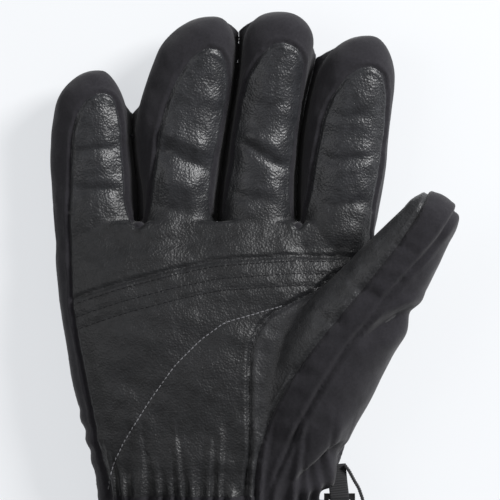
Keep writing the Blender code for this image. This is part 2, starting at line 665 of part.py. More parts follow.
def main():
    clear_scene()
    made = []
    for name, finger in FINGERS.items():
        made += make_digit(name, lambda d, s, f=finger: finger_grid(f, d, s), len(finger.face))
    made += make_digit("thumb", thumb_grid, len(THUMB_FACE) - 1)
    made += make_hand() + make_wrist() + make_cuff() + make_strap()
    centre_on_origin(made)


main()
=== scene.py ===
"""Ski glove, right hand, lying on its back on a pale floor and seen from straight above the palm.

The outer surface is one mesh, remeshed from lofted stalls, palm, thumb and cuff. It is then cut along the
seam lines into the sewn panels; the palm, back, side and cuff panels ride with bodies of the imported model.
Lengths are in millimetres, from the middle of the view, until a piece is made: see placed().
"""

import math

import bmesh
import bpy
import numpy as np
from mathutils import Matrix, Vector
from mathutils.bvhtree import BVHTree


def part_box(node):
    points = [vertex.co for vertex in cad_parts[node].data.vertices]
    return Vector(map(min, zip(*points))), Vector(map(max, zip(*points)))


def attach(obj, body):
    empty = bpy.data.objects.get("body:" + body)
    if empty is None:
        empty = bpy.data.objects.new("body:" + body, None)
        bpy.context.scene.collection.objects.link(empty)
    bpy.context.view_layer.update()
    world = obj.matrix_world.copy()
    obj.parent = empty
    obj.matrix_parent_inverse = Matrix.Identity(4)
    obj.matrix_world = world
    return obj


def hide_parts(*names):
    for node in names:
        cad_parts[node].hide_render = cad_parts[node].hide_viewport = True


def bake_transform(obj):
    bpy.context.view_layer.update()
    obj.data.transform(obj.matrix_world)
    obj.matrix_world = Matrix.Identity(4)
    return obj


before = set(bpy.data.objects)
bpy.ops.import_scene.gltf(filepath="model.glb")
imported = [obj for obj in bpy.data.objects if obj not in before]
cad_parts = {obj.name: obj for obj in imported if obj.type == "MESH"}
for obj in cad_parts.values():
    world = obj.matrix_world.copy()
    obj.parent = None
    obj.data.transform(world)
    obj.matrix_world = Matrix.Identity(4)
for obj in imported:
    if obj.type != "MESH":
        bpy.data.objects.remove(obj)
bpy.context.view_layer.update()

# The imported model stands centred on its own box, so the drawing's origin is found from a node of it
STRAP_CORNER = np.array([-48.0, -113.5, 0.8])
SHIFT = np.array(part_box("wrist_strap")[0]) * 1000 - STRAP_CORNER

VOXEL = 1.0
PLAN_STEP = 0.8
HEM_DEPTH = 1.2
RING_SIDES, SLEEVE_SIDES, HEM_SIDES = 56, 96, 240
DOME_POWER = 2.3  # how square the closed ends of the stalls are
LINING_INSET = 3.4
GAP_CLOSES = 6.5  # neighbouring fingers meet low down where they are closer than this
GAP_START, GAP_LEFT = 8.0, 0.3
THUMB_SEAM_TOP = -8.0  # above it the free thumb hides the seam
LINING_FROM = 9.0  # the hand's lining starts where the stalls' linings end
BUCKLE_HINGE = (37.6, -103.5, 17.0)
BAR_GRIP = 2.95  # from a bar's middle to the middle of the webbing round it
RIB_STEP, RIB_PITCH, RIBBON_SIDES = 0.25, 1.0, 20
LENS, SENSOR = 400.0, 36.0
VIEW_WIDTH, VIEW_CENTRE = 0.210, (0.0, 0.0)  # the width in metres
KNUCKLE = np.array([0.0, 17.0, 15.5])
STALL_CUT, STALL_BEND = 15.5, 46.0  # where a finger's panels start, and where they follow it fully
THUMB_HINGE = np.array([43.5, -31.5, 33.0])
THUMB_WAY = np.array([0.6, 0.8, 0.0])
WRIST_TOP, WRIST_END, HEM = -103.0, -124.0, -197.0
SIDE_SEAM_Z, CUFF_SEAM_Z = 15.0, 18.0
SIDE_PANEL_X = 0.0  # the little finger's side panel lies on the left of it
MIDDLE_X, MIDDLE_Z = -17.5, 16.7  # the middle of the wrist
SEAM_REACH = 9.0  # how far from a seam the distance to it is followed
SEAM_WIDTH, SEAM_DEPTH, SWELL = 0.85, 0.95, 0.42  # the groove, and the swell of the cloth beside it
PLEAT_PITCH = 5.6
CROSS_STITCH_ROWS = (7.6, 12.6)  # below the cross seam
TOPSTITCH_FROM, TOPSTITCH_TO = -100.0, -23.5

# Fingers: edges (y, left, right), tip (x, y), length of the rounded end, height, floor, rise of the tip
FINGERS = {
    "little": dict(
        edges=[(-14, -79, -50), (2, -81.5, -49), (10, -82.2, -48.8), (25, -83.2, -49.2),
               (38, -84.2, -49.8), (50, -83.6, -50.8), (58, -82.4, -51.6), (66, -80.5, -53.6),
               (75, -77, -56)],
        tip=(-63, 75.6), dome=16, height=24.5, floor=0.6, lift=3.0),
    "ring": dict(
        edges=[(-14, -46, -16), (2, -45, -16), (10, -44.4, -15.6), (25, -45, -14.2), (38, -47.4, -12.4),
               (50, -48.5, -10.6), (58, -47.2, -9.2), (66, -44.8, -8.0), (75, -42, -6.6),
               (84, -38.4, -5.9), (95, -33, -6)],
        tip=(-15.5, 98), dome=15, height=27.0, floor=0.4, lift=4.5),
    "middle": dict(
        edges=[(-14, -13, 18.4), (2, -12.6, 18.6), (10, -12.2, 18.6), (25, -11, 18.6), (38, -9.4, 19.2),
               (50, -7.8, 20.2), (63, -5.8, 22), (75, -4.0, 24.9), (86, -3.0, 27.0), (97, -2, 26.5)],
        tip=(12.3, 100), dome=14, height=27.0, floor=0.4, lift=5.0),
    "index": dict(
        edges=[(-14, 22, 49), (2, 21.8, 50.9), (12, 21.4, 53.3), (25, 21.4, 55.9), (38, 21.8, 57.5),
               (50, 23, 58.4), (63, 25.2, 60.1), (69, 26.8, 60.9), (76, 28.8, 60.8), (88, 33, 59.5)],
        tip=(50, 90), dome=17, height=27.0, floor=0.4, lift=4.5),
}

# Palm, wrist and cuff: (y, left, right, lowest, highest, roundness)
SLEEVE = [
    (11, -81.2, 52.7, 0.3, 27.3, 2.5), (6.3, -81.1, 52.4, 0.0, 29.3, 2.6),
    (-6, -81.6, 51.0, 0.0, 32.0, 2.7), (-19, -80.2, 49.0, 0.0, 34.0, 2.8),
    (-38, -77.3, 45.0, 0.0, 35.0, 2.8), (-57, -74.3, 41.0, 0.0, 35.0, 2.8),
    (-70, -70.6, 38.0, 0.3, 34.5, 2.7), (-82, -67.2, 35.4, 0.8, 33.8, 2.6),
    (-92, -64.2, 32.2, 1.6, 32.4, 2.5), (-102, -62.0, 27.6, 2.8, 30.6, 2.4),
    (-113, -61.4, 26.6, 3.6, 29.8, 2.4), (-124, -63.2, 28.0, 2.4, 31.4, 2.4),
    (-138, -66.6, 31.6, 0.4, 35.0, 2.4), (-165, -73.4, 38.4, 0.0, 39.0, 2.4),
    (-206, -80.2, 45.2, 0.0, 42.0, 2.4),
]

# Thumb with its root: (x, y, z, half width, half height)
THUMB = [
    (12, -110, 16, 12, 11), (15.5, -98, 17.0, 15.2, 13.6), (19.2, -86, 18.8, 18.6, 15.8),
    (23.4, -70, 21.8, 20.2, 18.2), (30, -54, 26.2, 22.6, 19.2), (37.4, -40, 30.8, 21.8, 17.8),
    (44.5, -30, 33.6, 20.5, 16.2), (52, -19.5, 36.5, 18.1, 15.2), (60, -8.4, 39.5, 15.9, 14.4),
    (68, 2.6, 42, 13.5, 13.5), (74, 11, 43.9, 11.4, 12.8),
]
THUMB_TIP = np.array([81.6, 21.6, 45.9])
THUMB_GAP = 2.6  # between the free thumb and the palm that it lies over

# Seam lines in plan
LEATHER = [
    (-56.5, -122), (-58.6, -103), (-63.0, -84), (-68.0, -60), (-72.2, -38), (-74.8, -21), (-75.6, 0),
    (-75.8, 16), (-75.6, 28), (-75.2, 40), (-74.2, 50), (-72.0, 57.6), (-68.2, 63.4), (-62.6, 66.2),
    (-57.6, 65), (-55.2, 60.5), (-54.0, 53), (-53.2, 44), (-52.6, 34), (-52.0, 22), (-50.6, 13),
    (-47.0, 8.5), (-43.4, 12), (-42.0, 22), (-40.6, 33), (-38.8, 46), (-35.4, 60), (-30.4, 72),
    (-24.5, 80.4), (-18, 84.6), (-12, 83.4), (-8.9, 78), (-8.6, 70), (-10.6, 58), (-13.2, 46),
    (-15.6, 32), (-16.8, 22), (-16.0, 15), (-13.6, 11.5), (-11.0, 15), (-10.0, 22), (-8.4, 32),
    (-6.8, 45), (-4.4, 60), (-1.0, 72), (3.6, 80.6), (9.4, 86.2), (15, 86.8), (20.4, 84), (23.2, 79),
    (22.8, 71), (20.6, 59), (18.4, 45), (17.2, 32), (17.0, 20), (18.2, 11.5), (20.0, 8), (22.4, 12),
    (24.4, 22), (25.8, 32), (27.6, 42), (30.2, 54), (34, 64), (39.8, 72), (46, 76.3), (51.4, 76.8),
    (56, 73.6), (57.8, 66), (57.0, 54), (55.6, 42), (53.8, 30), (52.0, 18), (50.6, 6), (49.6, -6),
    (48, -20), (47, -34), (46, -60), (40, -90), (30, -122),
]
CROSS_SEAM = [
    (-84, -23.5), (-75.0, -20.8), (-67, -17.9), (-54.6, -13.9), (-33.6, -8.4), (-14.7, -4.4), (0, -3.4),
    (16.8, -2.2), (35.7, -2.6), (70, -4),
]
THUMB_SEAM = [
    (70, 21), (52, 7), (42, -2.4), (33.6, -10.8), (25.2, -17.9), (14.7, -23.5), (8.2, -27.0),
    (3.6, -32.5), (1.0, -38.6), (-0.2, -48.2), (-0.2, -72.3), (0.2, -84.4), (-1.4, -96.4), (-2, -122),
]
FACE_SEAM = [
    (76, 32), (73.6, 23.4), (69.2, 14.2), (60.9, 2.1), (52.5, -8.6), (42, -21.6), (29.4, -36.6),
    (17.2, -52.5), (8.6, -69.3), (3.4, -86), (1.8, -98), (1.4, -122),
]
THUMB_BACK_SEAM = [
    (88, 20), (84.6, 14.5), (77.4, 3.8), (67.8, -7), (56.7, -19.4), (47, -31.8), (39.5, -41),
    (29.4, -56.9), (21, -72), (12.8, -90), (8.4, -101), (8, -122),
]
TOPSTITCH = [
    (-59.2, -99.5), (-57.5, -90.3), (-52.5, -79.8), (-42, -63), (-31.5, -48.3), (-21, -37.8),
    (-10.5, -30.2), (0, -27.3), (12.6, -23.5),
]


TO_METRES = Matrix.Diagonal((0.001, 0.001, 0.001, 1)) @ Matrix.Translation(SHIFT)


def placed(points):
    """Drawing millimetres to the model's metres."""
    return (np.asarray(points, float) + SHIFT) * 0.001


def unit(rows):
    """Each row divided by its length."""
    return rows / np.linalg.norm(rows, axis=1)[:, None]


# ---- Curves and solids ----


def smooth_rows(rows, step=1.0, blur=4.0):
    """The rows of numbers read at every step of their first value, and blurred a little along it."""
    rows = np.array(rows, float)
    rows = rows[np.argsort(rows[:, 0], kind="stable")]
    at = np.arange(rows[0, 0], rows[-1, 0] + step / 2, step)
    columns = [np.interp(at, rows[:, 0], rows[:, k]) for k in range(1, rows.shape[1])]
    reach = int(3 * blur / step)
    kernel = np.exp(-0.5 * (np.arange(-reach, reach + 1) * step / blur) ** 2)
    kernel /= kernel.sum()
    blurred = []
    for column in columns:
        before = column[0] - (column[1] - column[0]) * np.arange(reach, 0, -1)
        after = column[-1] + (column[-1] - column[-2]) * np.arange(1, reach + 1)
        blurred.append(np.convolve(np.concatenate([before, column, after]), kernel, "valid"))
    return np.column_stack([at, *blurred])


def smooth_line(points, step=1.0, blur=2.5):
    """The polyline with a point every step along it, its corners rounded."""
    points = np.array(points, float)
    along = np.concatenate([[0], np.cumsum(np.linalg.norm(np.diff(points, axis=0), axis=1))])
    return smooth_rows(np.column_stack([along, points]), step, blur)[:, 1:]


def round_unit(sides, roundness):
    """A circle's points across and upward, the squarer the more the roundness passes 2."""
    turn = 2 * np.pi * (np.arange(sides) + 0.5) / sides
    c, s = np.cos(turn), np.sin(turn)
    power = 2 / roundness
    return np.sign(c) * np.abs(c) ** power, np.sign(s) * np.abs(s) ** power


def loft_faces(count, sides):
    """Triangles of a closed solid through rings of points, followed by the middles of its two ends."""
    k = np.arange(sides)
    after = (k + 1) % sides
    faces = []
    for r in range(count - 1):
        a, b = r * sides + k, r * sides + after
        faces += [np.column_stack([a, b, b + sides]), np.column_stack([a, b + sides, a + sides])]
    first, last = count * sides, count * sides + 1
    top = (count - 1) * sides
    faces += [np.column_stack([after, k, np.full(sides, first)]),
              np.column_stack([top + k, top + after, np.full(sides, last)])]
    return np.concatenate(faces)


def loft(rings):
    """Points and triangles of a closed solid through rings of the same number of points."""
    points = np.concatenate([*rings, [np.mean(rings[0], axis=0), np.mean(rings[-1], axis=0)]])
    return points, loft_faces(len(rings), len(rings[0]))


def joined(parts):
    """Several pairs of points and faces as one."""
    offset, points, faces = 0, [], []
    for part_points, part_faces in parts:
        points.append(part_points)
        faces.append(part_faces + offset)
        offset += len(part_points)
    return np.concatenate(points), np.concatenate(faces)


def finger_solid(finger):
    tip_x, tip_y = finger["tip"]
    rows = smooth_rows(finger["edges"], 1.0, 3.0)
    dome_start = tip_y - finger["dome"]
    dome = [dome_start + finger["dome"] * math.sin(a) for a in np.linspace(0, 1.5, 24)]
    stations = [*np.arange(rows[0, 0], dome_start, 1.5), *dome]
    across, upward = round_unit(RING_SIDES, 2.25)
    rings = []
    for y in stations:
        left, right = (np.interp(y, rows[:, 0], rows[:, k]) for k in (1, 2))
        rise = max(0.0, y - KNUCKLE[1]) / (tip_y - KNUCKLE[1])
        into = max(0.0, (y - dome_start) / finger["dome"])
        shrink = (1 - into**DOME_POWER) ** (1 / DOME_POWER) if into < 1 else 0.0
        left, right = tip_x + (left - tip_x) * shrink, tip_x + (right - tip_x) * shrink
        half_height = (finger["height"] / 2 - 1.2 * rise) * shrink
        up = finger["floor"] + finger["height"] / 2 + finger["lift"] * rise**1.6
        x = (left + right) / 2 + (right - left) / 2 * across / across.max()
        rings.append(np.column_stack([x, np.full(RING_SIDES, y), up + half_height * upward]))
    return loft(rings)


def thumb_line():
    """Dense sections (x, y, z, half width, half height) from wrist to tip, and the way ahead of each."""
    sections = np.array(THUMB)
    along = np.concatenate([[0], np.cumsum(np.linalg.norm(np.diff(sections[:, :3], axis=0), axis=1))])
    dense = smooth_rows(np.column_stack([along, sections]), 1.5, 5.0)[:, 1:]
    last = dense[-1].copy()
    reach = np.linalg.norm(THUMB_TIP - last[:3])
    way = (THUMB_TIP - last[:3]) / reach
    dome = []
    for a in np.linspace(0.1, 1.5, 20):
        share = math.sin(a)
        shrink = (1 - share**DOME_POWER) ** (1 / DOME_POWER)
        dome.append([*(last[:3] + way * reach * share), last[3] * shrink, last[4] * shrink])
    dense = np.concatenate([dense, dome])
    ahead = np.gradient(dense[:, :3], axis=0)
    ahead[-20:] = way
    return dense, unit(ahead)


def across_and_up(ahead):
    across = unit(np.cross(ahead, [0, 0, 1.0]))
    return across, np.cross(across, ahead)


def thumb_rings(dense, ahead, grow=0.0):
    """The thumb's rings, wider all round by the growth."""
    across, up = across_and_up(ahead)
    side, rise = round_unit(RING_SIDES, 2.2)
    rings = []
    for k, (x, y, z, half, half_height) in enumerate(dense):
        wide = np.outer(side * (half + grow), across[k])
        rings.append(np.array([x, y, z]) + wide + np.outer(rise * (half_height + grow), up[k]))
    return rings


def sleeve_solid():
    rows = smooth_rows(SLEEVE, 1.5, 5.0)
    rings = []
    for y, left, right, low, high, roundness in rows:
        across, upward = round_unit(SLEEVE_SIDES, roundness)
        x = (left + right) / 2 + (right - left) / 2 * across / across.max()
        z = (low + high) / 2 + (high - low) / 2 * upward / upward.max()
        rings.append(np.column_stack([x, np.full(SLEEVE_SIDES, y), z]))
    return loft(rings)


def mesh_of(name, points, faces):
    """A mesh from arrays of points and triangles."""
    mesh = bpy.data.meshes.new(name)
    mesh.vertices.add(len(points))
    mesh.vertices.foreach_set("co", np.asarray(points, np.float32).ravel())
    mesh.loops.add(faces.size)
    mesh.loops.foreach_set("vertex_index", np.asarray(faces, np.int32).ravel())
    mesh.polygons.add(len(faces))
    mesh.polygons.foreach_set("loop_start", np.arange(0, faces.size, faces.shape[1], dtype=np.int32))
    mesh.update(calc_edges=True)
    mesh.validate()
    return mesh


def linked(name, mesh):
    obj = bpy.data.objects.new(name, mesh)
    bpy.context.scene.collection.objects.link(obj)
    return obj


def evaluated(obj):
    bpy.context.view_layer.update()
    return bpy.data.meshes.new_from_object(obj.evaluated_get(bpy.context.evaluated_depsgraph_get()))


def drop(*objects):
    for obj in objects:
        mesh = obj.data
        bpy.data.objects.remove(obj)
        if mesh and not mesh.users:
            bpy.data.meshes.remove(mesh)


def outer_surface():
    """Points and triangles of the whole outer surface, from one voxel remesh of the overlapping solids."""
    dense, ahead = thumb_line()
    free = [k for k in range(len(dense)) if (dense[k, :3] - THUMB_HINGE) @ THUMB_WAY > 1.0]
    room_rings = thumb_rings(dense[free], ahead[free], THUMB_GAP)
    sleeve = linked("sleeve", mesh_of("sleeve", *sleeve_solid()))
    room = linked("room", mesh_of("room", *loft(room_rings)))
    cut = sleeve.modifiers.new("cut", "BOOLEAN")
    cut.operation, cut.solver, cut.object = "DIFFERENCE", "EXACT", room
    dented = evaluated(sleeve)
    work = bmesh.new()
    work.from_mesh(dented)
    bmesh.ops.triangulate(work, faces=work.faces)
    work.to_mesh(dented)
    work.free()
    palm = arrays(dented, 3)
    drop(sleeve, room)
    solids = [palm, loft(thumb_rings(dense, ahead)), *(finger_solid(finger) for finger in FINGERS.values())]
    body = linked("body", mesh_of("body", *joined(solids)))
    remesh = body.modifiers.new("remesh", "REMESH")
    remesh.mode, remesh.voxel_size, remesh.adaptivity = "VOXEL", VOXEL, 0.0
    points, quads = arrays(evaluated(body), 4)
    drop(body)
    return points, quads


def arrays(mesh, corners):
    """The mesh's points, and its faces, which all have to have the same number of corners."""
    points = np.empty(len(mesh.vertices) * 3, np.float32)
    mesh.vertices.foreach_get("co", points)
    index = np.empty(len(mesh.loops), np.int32)
    mesh.loops.foreach_get("vertex_index", index)
    total = np.empty(len(mesh.polygons), np.int32)
    mesh.polygons.foreach_get("loop_total", total)
    if not (total == corners).all():
        raise ValueError(f"faces of {set(total.tolist())} corners where {corners} were expected")
    return points.reshape(-1, 3).astype(float), index.reshape(-1, corners).astype(np.int64)


def edges_of(faces):
    pairs = np.concatenate([faces[:, [k, (k + 1) % faces.shape[1]]] for k in range(faces.shape[1])])
    return np.unique(np.sort(pairs, axis=1), axis=0)


def averaged(points, edges, degree):
    a, b = edges[:, 0], edges[:, 1]
    total = np.zeros_like(points)
    for k in range(points.shape[1]):
        total[:, k] = np.bincount(a, points[b, k], len(points)) + np.bincount(b, points[a, k], len(points))
    return total / degree[:, None]


def relaxed(points, edges, times, mask=None, shrinking=False):
    """Smoothed points. Every second step swells as much as the last one shrank, unless it may shrink."""
    degree = np.bincount(edges.ravel(), minlength=len(points)).astype(float)
    weight = 1.0 if mask is None else mask[:, None]
    for k in range(times):
        step = 0.5 if shrinking or k % 2 == 0 else -0.52
        points = points + (averaged(points, edges, degree) - points) * step * weight
    return points


def normals_of(points, faces):
    corners = points[faces]
    face_normals = np.cross(corners[:, 1] - corners[:, 0], corners[:, 2] - corners[:, 0])
    normals = np.zeros_like(points)
    for k in range(3):
        for c in range(3):
            normals[:, k] += np.bincount(faces[:, c], face_normals[:, k], len(points))
    return normals / np.maximum(np.linalg.norm(normals, axis=1), 1e-12)[:, None]


# ---- Distances in plan ----


def segments(points, line):
    """For each point, its distance in plan to the line, the side (+1 is left), and the length along it."""
    line = np.asarray(line, float)
    best = np.full(len(points), 1e9)
    side = np.ones(len(points))
    along = np.zeros(len(points))
    run = 0.0
    for a, b in zip(line, line[1:]):
        d = b - a
        length = np.linalg.norm(d)
        if length < 1e-9:
            continue
        rel = points[:, :2] - a
        t = np.clip(rel @ d / length**2, 0, 1)
        away = rel - t[:, None] * d
        distance = np.hypot(away[:, 0], away[:, 1])
        near = distance < best
        cross = d[0] * rel[:, 1] - d[1] * rel[:, 0]
        best[near] = distance[near]
        side[near] = np.sign(cross[near])
        along[near] = run + t[near] * length
        run += length
    return best, side, along


def left_of(points, line):
    """Signed distance, positive on the left of the line as it is walked."""
    distance, side, _ = segments(points, line)
    return distance * side


def inside(points, outline):
    """Signed distance to a closed outline, negative inside it."""
    closed = np.vstack([outline, outline[:1]])
    distance, _, _ = segments(points, closed)
    x, y = points[:, 0], points[:, 1]
    odd = np.zeros(len(points), bool)
    for (x0, y0), (x1, y1) in zip(closed, closed[1:]):
        if y0 == y1:
            continue
        crosses = ((y0 > y) != (y1 > y)) & (x < (x1 - x0) * (y - y0) / (y1 - y0) + x0)
        odd ^= crosses
    return np.where(odd, -distance, distance)


SEAMS = {name: smooth_line(line, 1.0, 1.5) for name, line in (
    ("cross", CROSS_SEAM), ("thumb", THUMB_SEAM), ("face", FACE_SEAM), ("thumb_back", THUMB_BACK_SEAM),
    ("topstitch", TOPSTITCH))}
LEATHER_OUTLINE = smooth_line(LEATHER, 1.2, 1.2)
THUMB_DENSE, THUMB_AHEAD = thumb_line()


def digit_depth(points):
    """Roughly how far outside the thumb's surface each point is; points far to its left are skipped."""
    far = np.full(len(points), 1e9)
    near = points[:, 0] > 5
    chosen = points[near]
    centre, half = THUMB_DENSE[:, :3], THUMB_DENSE[:, 3:]
    best = np.full(len(chosen), 1e9)
    across, up = across_and_up(THUMB_AHEAD)
    for k in range(len(centre)):
        rel = chosen - centre[k]
        ahead = rel @ THUMB_AHEAD[k]
        radial = np.hypot((rel @ across[k]) / max(half[k, 0], 0.5), (rel @ up[k]) / max(half[k, 1], 0.5))
        depth = np.hypot((radial - 1) * min(half[k]), ahead)
        best = np.minimum(best, np.where(np.abs(ahead) < 4, depth, 1e9))
    far[near] = best
    return far


def in_plan(signed):
    """The signed distance as a function of points, worked out once on a grid and read in between."""
    xs, ys = np.arange(-96, 100, PLAN_STEP), np.arange(-216, 112, PLAN_STEP)
    grid_x, grid_y = np.meshgrid(xs, ys)
    grid = signed(np.column_stack([grid_x.ravel(), grid_y.ravel()])).reshape(grid_x.shape)

    def read(points):
        u = np.clip((points[:, 0] - xs[0]) / PLAN_STEP, 0, len(xs) - 1.001)
        v = np.clip((points[:, 1] - ys[0]) / PLAN_STEP, 0, len(ys) - 1.001)
        i, j = u.astype(int), v.astype(int)
        u, v = u - i, v - j
        low = grid[j, i] * (1 - u) + grid[j, i + 1] * u
        high = grid[j + 1, i] * (1 - u) + grid[j + 1, i + 1] * u
        return low * (1 - v) + high * v

    return read


PLAN = {name: in_plan(lambda points, line=line: left_of(points, line)) for name, line in SEAMS.items()}
PLAN["leather"] = in_plan(lambda points: inside(points, LEATHER_OUTLINE))


def thumb_field(points):
    """Negative on the thumb and its root, which the thumb seam parts from the palm."""
    along = (points - THUMB_HINGE) @ THUMB_WAY
    on_digit = np.maximum(0.4 - along, digit_depth(points) - 1.3)
    on_root = np.maximum.reduce([-PLAN["thumb"](points), along - 0.4, SIDE_SEAM_Z - points[:, 2]])
    return np.minimum(on_digit, on_root)


# The signed functions whose zero lines are the panels' edges
FIELDS = {
    "stall": lambda p: STALL_CUT - p[:, 1],
    "wrist": lambda p: WRIST_TOP - p[:, 1],
    "wrist_end": lambda p: WRIST_END - p[:, 1],
    "hem": lambda p: HEM - p[:, 1],
    "leather": lambda p: np.maximum(PLAN["leather"](p), SIDE_SEAM_Z + 0.5 - p[:, 2]),
    "cross": PLAN["cross"],
    "thumb": thumb_field,
    "face": PLAN["face"],
    "side": lambda p: p[:, 2] - SIDE_SEAM_Z,
    "cuff_side": lambda p: p[:, 2] - CUFF_SEAM_Z,
}


def fields(points):
    return {name: read(points) for name, read in FIELDS.items()}


# ---- Panels of the outer surface ----


def triangles_of(points, quads):
    """Each quad cut along its shorter diagonal."""
    a, b, c, d = quads.T
    short = np.linalg.norm(points[a] - points[c], axis=1) <= np.linalg.norm(points[b] - points[d], axis=1)
    first = np.where(short[:, None], np.column_stack([a, b, c]), np.column_stack([a, b, d]))
    second = np.where(short[:, None], np.column_stack([a, c, d]), np.column_stack([b, c, d]))
    return np.concatenate([first, second])


def snapped(points, edges, name):
    """The points, with the nearer end of every edge that crosses the field's zero line moved onto it."""
    for _ in range(2):
        value = FIELDS[name](points)
        a, b = edges.T
        crosses = value[a] * value[b] < 0
        a, b = a[crosses], b[crosses]
        near_a = np.abs(value[a]) <= np.abs(value[b])
        mover, other = np.where(near_a, a, b), np.where(near_a, b, a)
        share = value[mover] / (value[mover] - value[other])
        target = points[mover] + (points[other] - points[mover]) * share[:, None]
        order = np.argsort(-share)
        points = points.copy()
        points[mover[order]] = target[order]
    return points


def gap_lines(y):
    """For each pair of neighbouring fingers, the middle of the gap between them and its width at each y."""
    rows = [smooth_rows(finger["edges"], 1.0, 3.0) for finger in FINGERS.values()]
    lines = []
    for first, second in zip(rows, rows[1:]):
        right, left = np.interp(y, first[:, 0], first[:, 2]), np.interp(y, second[:, 0], second[:, 1])
        lines.append(((left + right) / 2, left - right))
    return lines


def panel_names(value):
    """The panel of each face, from the fields read at its middle."""
    count = len(value["stall"])
    name = np.full(count, "back", object)
    thumb = value["thumb"] < 0
    leather = value["leather"] < 0
    stall = (value["stall"] < 0) & ~thumb
    name[(value["side"] > 0) & (value["x"] < SIDE_PANEL_X)] = "side"
    name[leather & (value["cross"] > 0)] = "palm_upper"
    name[leather & (value["cross"] <= 0)] = "palm_lower"
    name[thumb & (value["face"] <= 0)] = "thumb_leather"
    name[thumb & (value["face"] > 0)] = "thumb_fabric"
    order = sum((value["x"] > middle).astype(int) for middle, _ in gap_lines(value["y"]))
    for number, finger in enumerate(FINGERS):
        here = stall & (order == number)
        name[here & leather] = finger + "_leather"
        name[here & ~leather] = finger + "_fabric"
    name[value["wrist"] > 0] = "shirring"
    cuff = value["wrist_end"] > 0
    name[cuff & (value["cuff_side"] > 0)] = "cuff_palm"
    name[cuff & (value["cuff_side"] <= 0)] = "cuff_back"
    name[value["hem"] > 0] = ""
    return name


def spread(points, edges, start, reach):
    """Distance along the surface from the start points, up to about reach."""
    distance = np.where(start, 0.0, 1e3)
    length = np.linalg.norm(points[edges[:, 0]] - points[edges[:, 1]], axis=1)
    a, b = edges.T
    for _ in range(int(reach / VOXEL * 1.6)):
        np.minimum.at(distance, a, distance[b] + length)
        np.minimum.at(distance, b, distance[a] + length)
    return distance


def bump(t, width):
    """A bell shape of height 1."""
    return np.exp(-((t / width) ** 2))


def ridge(points, line, height, width, floor=16.0):
    """A soft ridge, or a groove for a negative height, that fades out at both ends of its line in plan."""
    line = smooth_line(line, 1.5, 2.0)
    total = np.zeros(len(points))
    reach = 3 * np.max(width)
    box = (points[:, :2] > line.min(axis=0) - reach) & (points[:, :2] < line.max(axis=0) + reach)
    near = np.flatnonzero(box.all(axis=1) & (points[:, 2] > floor - 2))
    distance, side, along = segments(points[near], line)
    length = np.linalg.norm(np.diff(line, axis=0), axis=1).sum()
    fade = np.clip(np.minimum(along, length - along) / (0.3 * length), 0, 1)
    left, right = np.broadcast_to(width, 2)
    shape = height * fade * fade * (3 - 2 * fade) * bump(distance, np.where(side > 0, left, right))
    total[near] = shape * np.clip((points[near, 2] - floor + 2) / 4, 0, 1)
    return total


def softness(points, size, seed):
    """Smooth random swelling between about -1 and 1, made of a few dozen slanted waves."""
    random = np.random.RandomState(seed)
    total = np.zeros(len(points))
    for _ in range(18):
        way = random.normal(size=3)
        way /= np.linalg.norm(way)
        length = size * random.uniform(0.7, 1.5)
        total += np.sin(points @ way * (2 * np.pi / length) + random.uniform(0, 6.28))
    return total / 4.2


def pleats(points):
    """Gathers at the wrist: long narrow folds that fan out and die away up the palm and down the cuff."""
    x, y, z = points.T
    spread_up = np.where(y > WRIST_TOP, 1 + (y - WRIST_TOP) * 0.0042, 1.0)
    around = (x - MIDDLE_X) / spread_up
    around = np.where(z > 16, around, 100 - around)
    random = np.random.RandomState(3)
    wander = np.zeros(len(points))
    for k in range(1, 5):
        swing = random.uniform(0.5, 1.1)
        wander += swing * np.sin(around * k * 0.11 + y * 0.035 * (k % 3) + random.uniform(0, 6))
    phase = (around + wander) * 2 * np.pi / PLEAT_PITCH
    wave = (0.5 + 0.5 * np.cos(phase)) ** 1.4
    number = np.floor((around + wander) / PLEAT_PITCH + 0.5)
    length = 27 + 15 * np.sin(number * 2.3) + 7 * np.sin(number * 5.1 + 1)
    down = 20 + 9 * np.sin(number * 3.7)
    above = np.clip(1 - (y - WRIST_TOP) / length, 0, 1) ** 1.3
    below = np.clip(1 - (WRIST_END - y) / down, 0, 1) ** 1.3
    strength = np.where(y > WRIST_TOP, above, np.where(y < WRIST_END, below, 1.0))
    return 2.7 * wave * strength - 1.0 * strength


def closed_gaps(points, normals):
    """Sideways shifts that let the padded sides of neighbouring fingers meet low down, as they do at rest.

    Both sides follow one gentle S in height, so that no light comes up between them.
    """
    shift = np.zeros(len(points))
    x, y, z = points.T
    low = np.clip((z - 1.5) / 3, 0, 1) * np.clip((15 - z) / 5, 0, 1)
    curve = 0.35 * np.cos(np.pi * np.clip((z - 4) / 6, 0, 1))
    for middle, gap in gap_lines(y):
        close = np.clip((GAP_CLOSES - gap) / 2, 0, 1) * np.clip((y - GAP_START) / 2, 0, 1) * low
        for side in (1, -1):
            at_gap = np.abs(x - middle + side * gap / 2) < 5
            facing = np.clip((normals[:, 0] * side - 0.1) / 0.4, 0, 1) * at_gap
            shift += facing * close * (middle + curve - side * GAP_LEFT / 2 - x)
    return shift


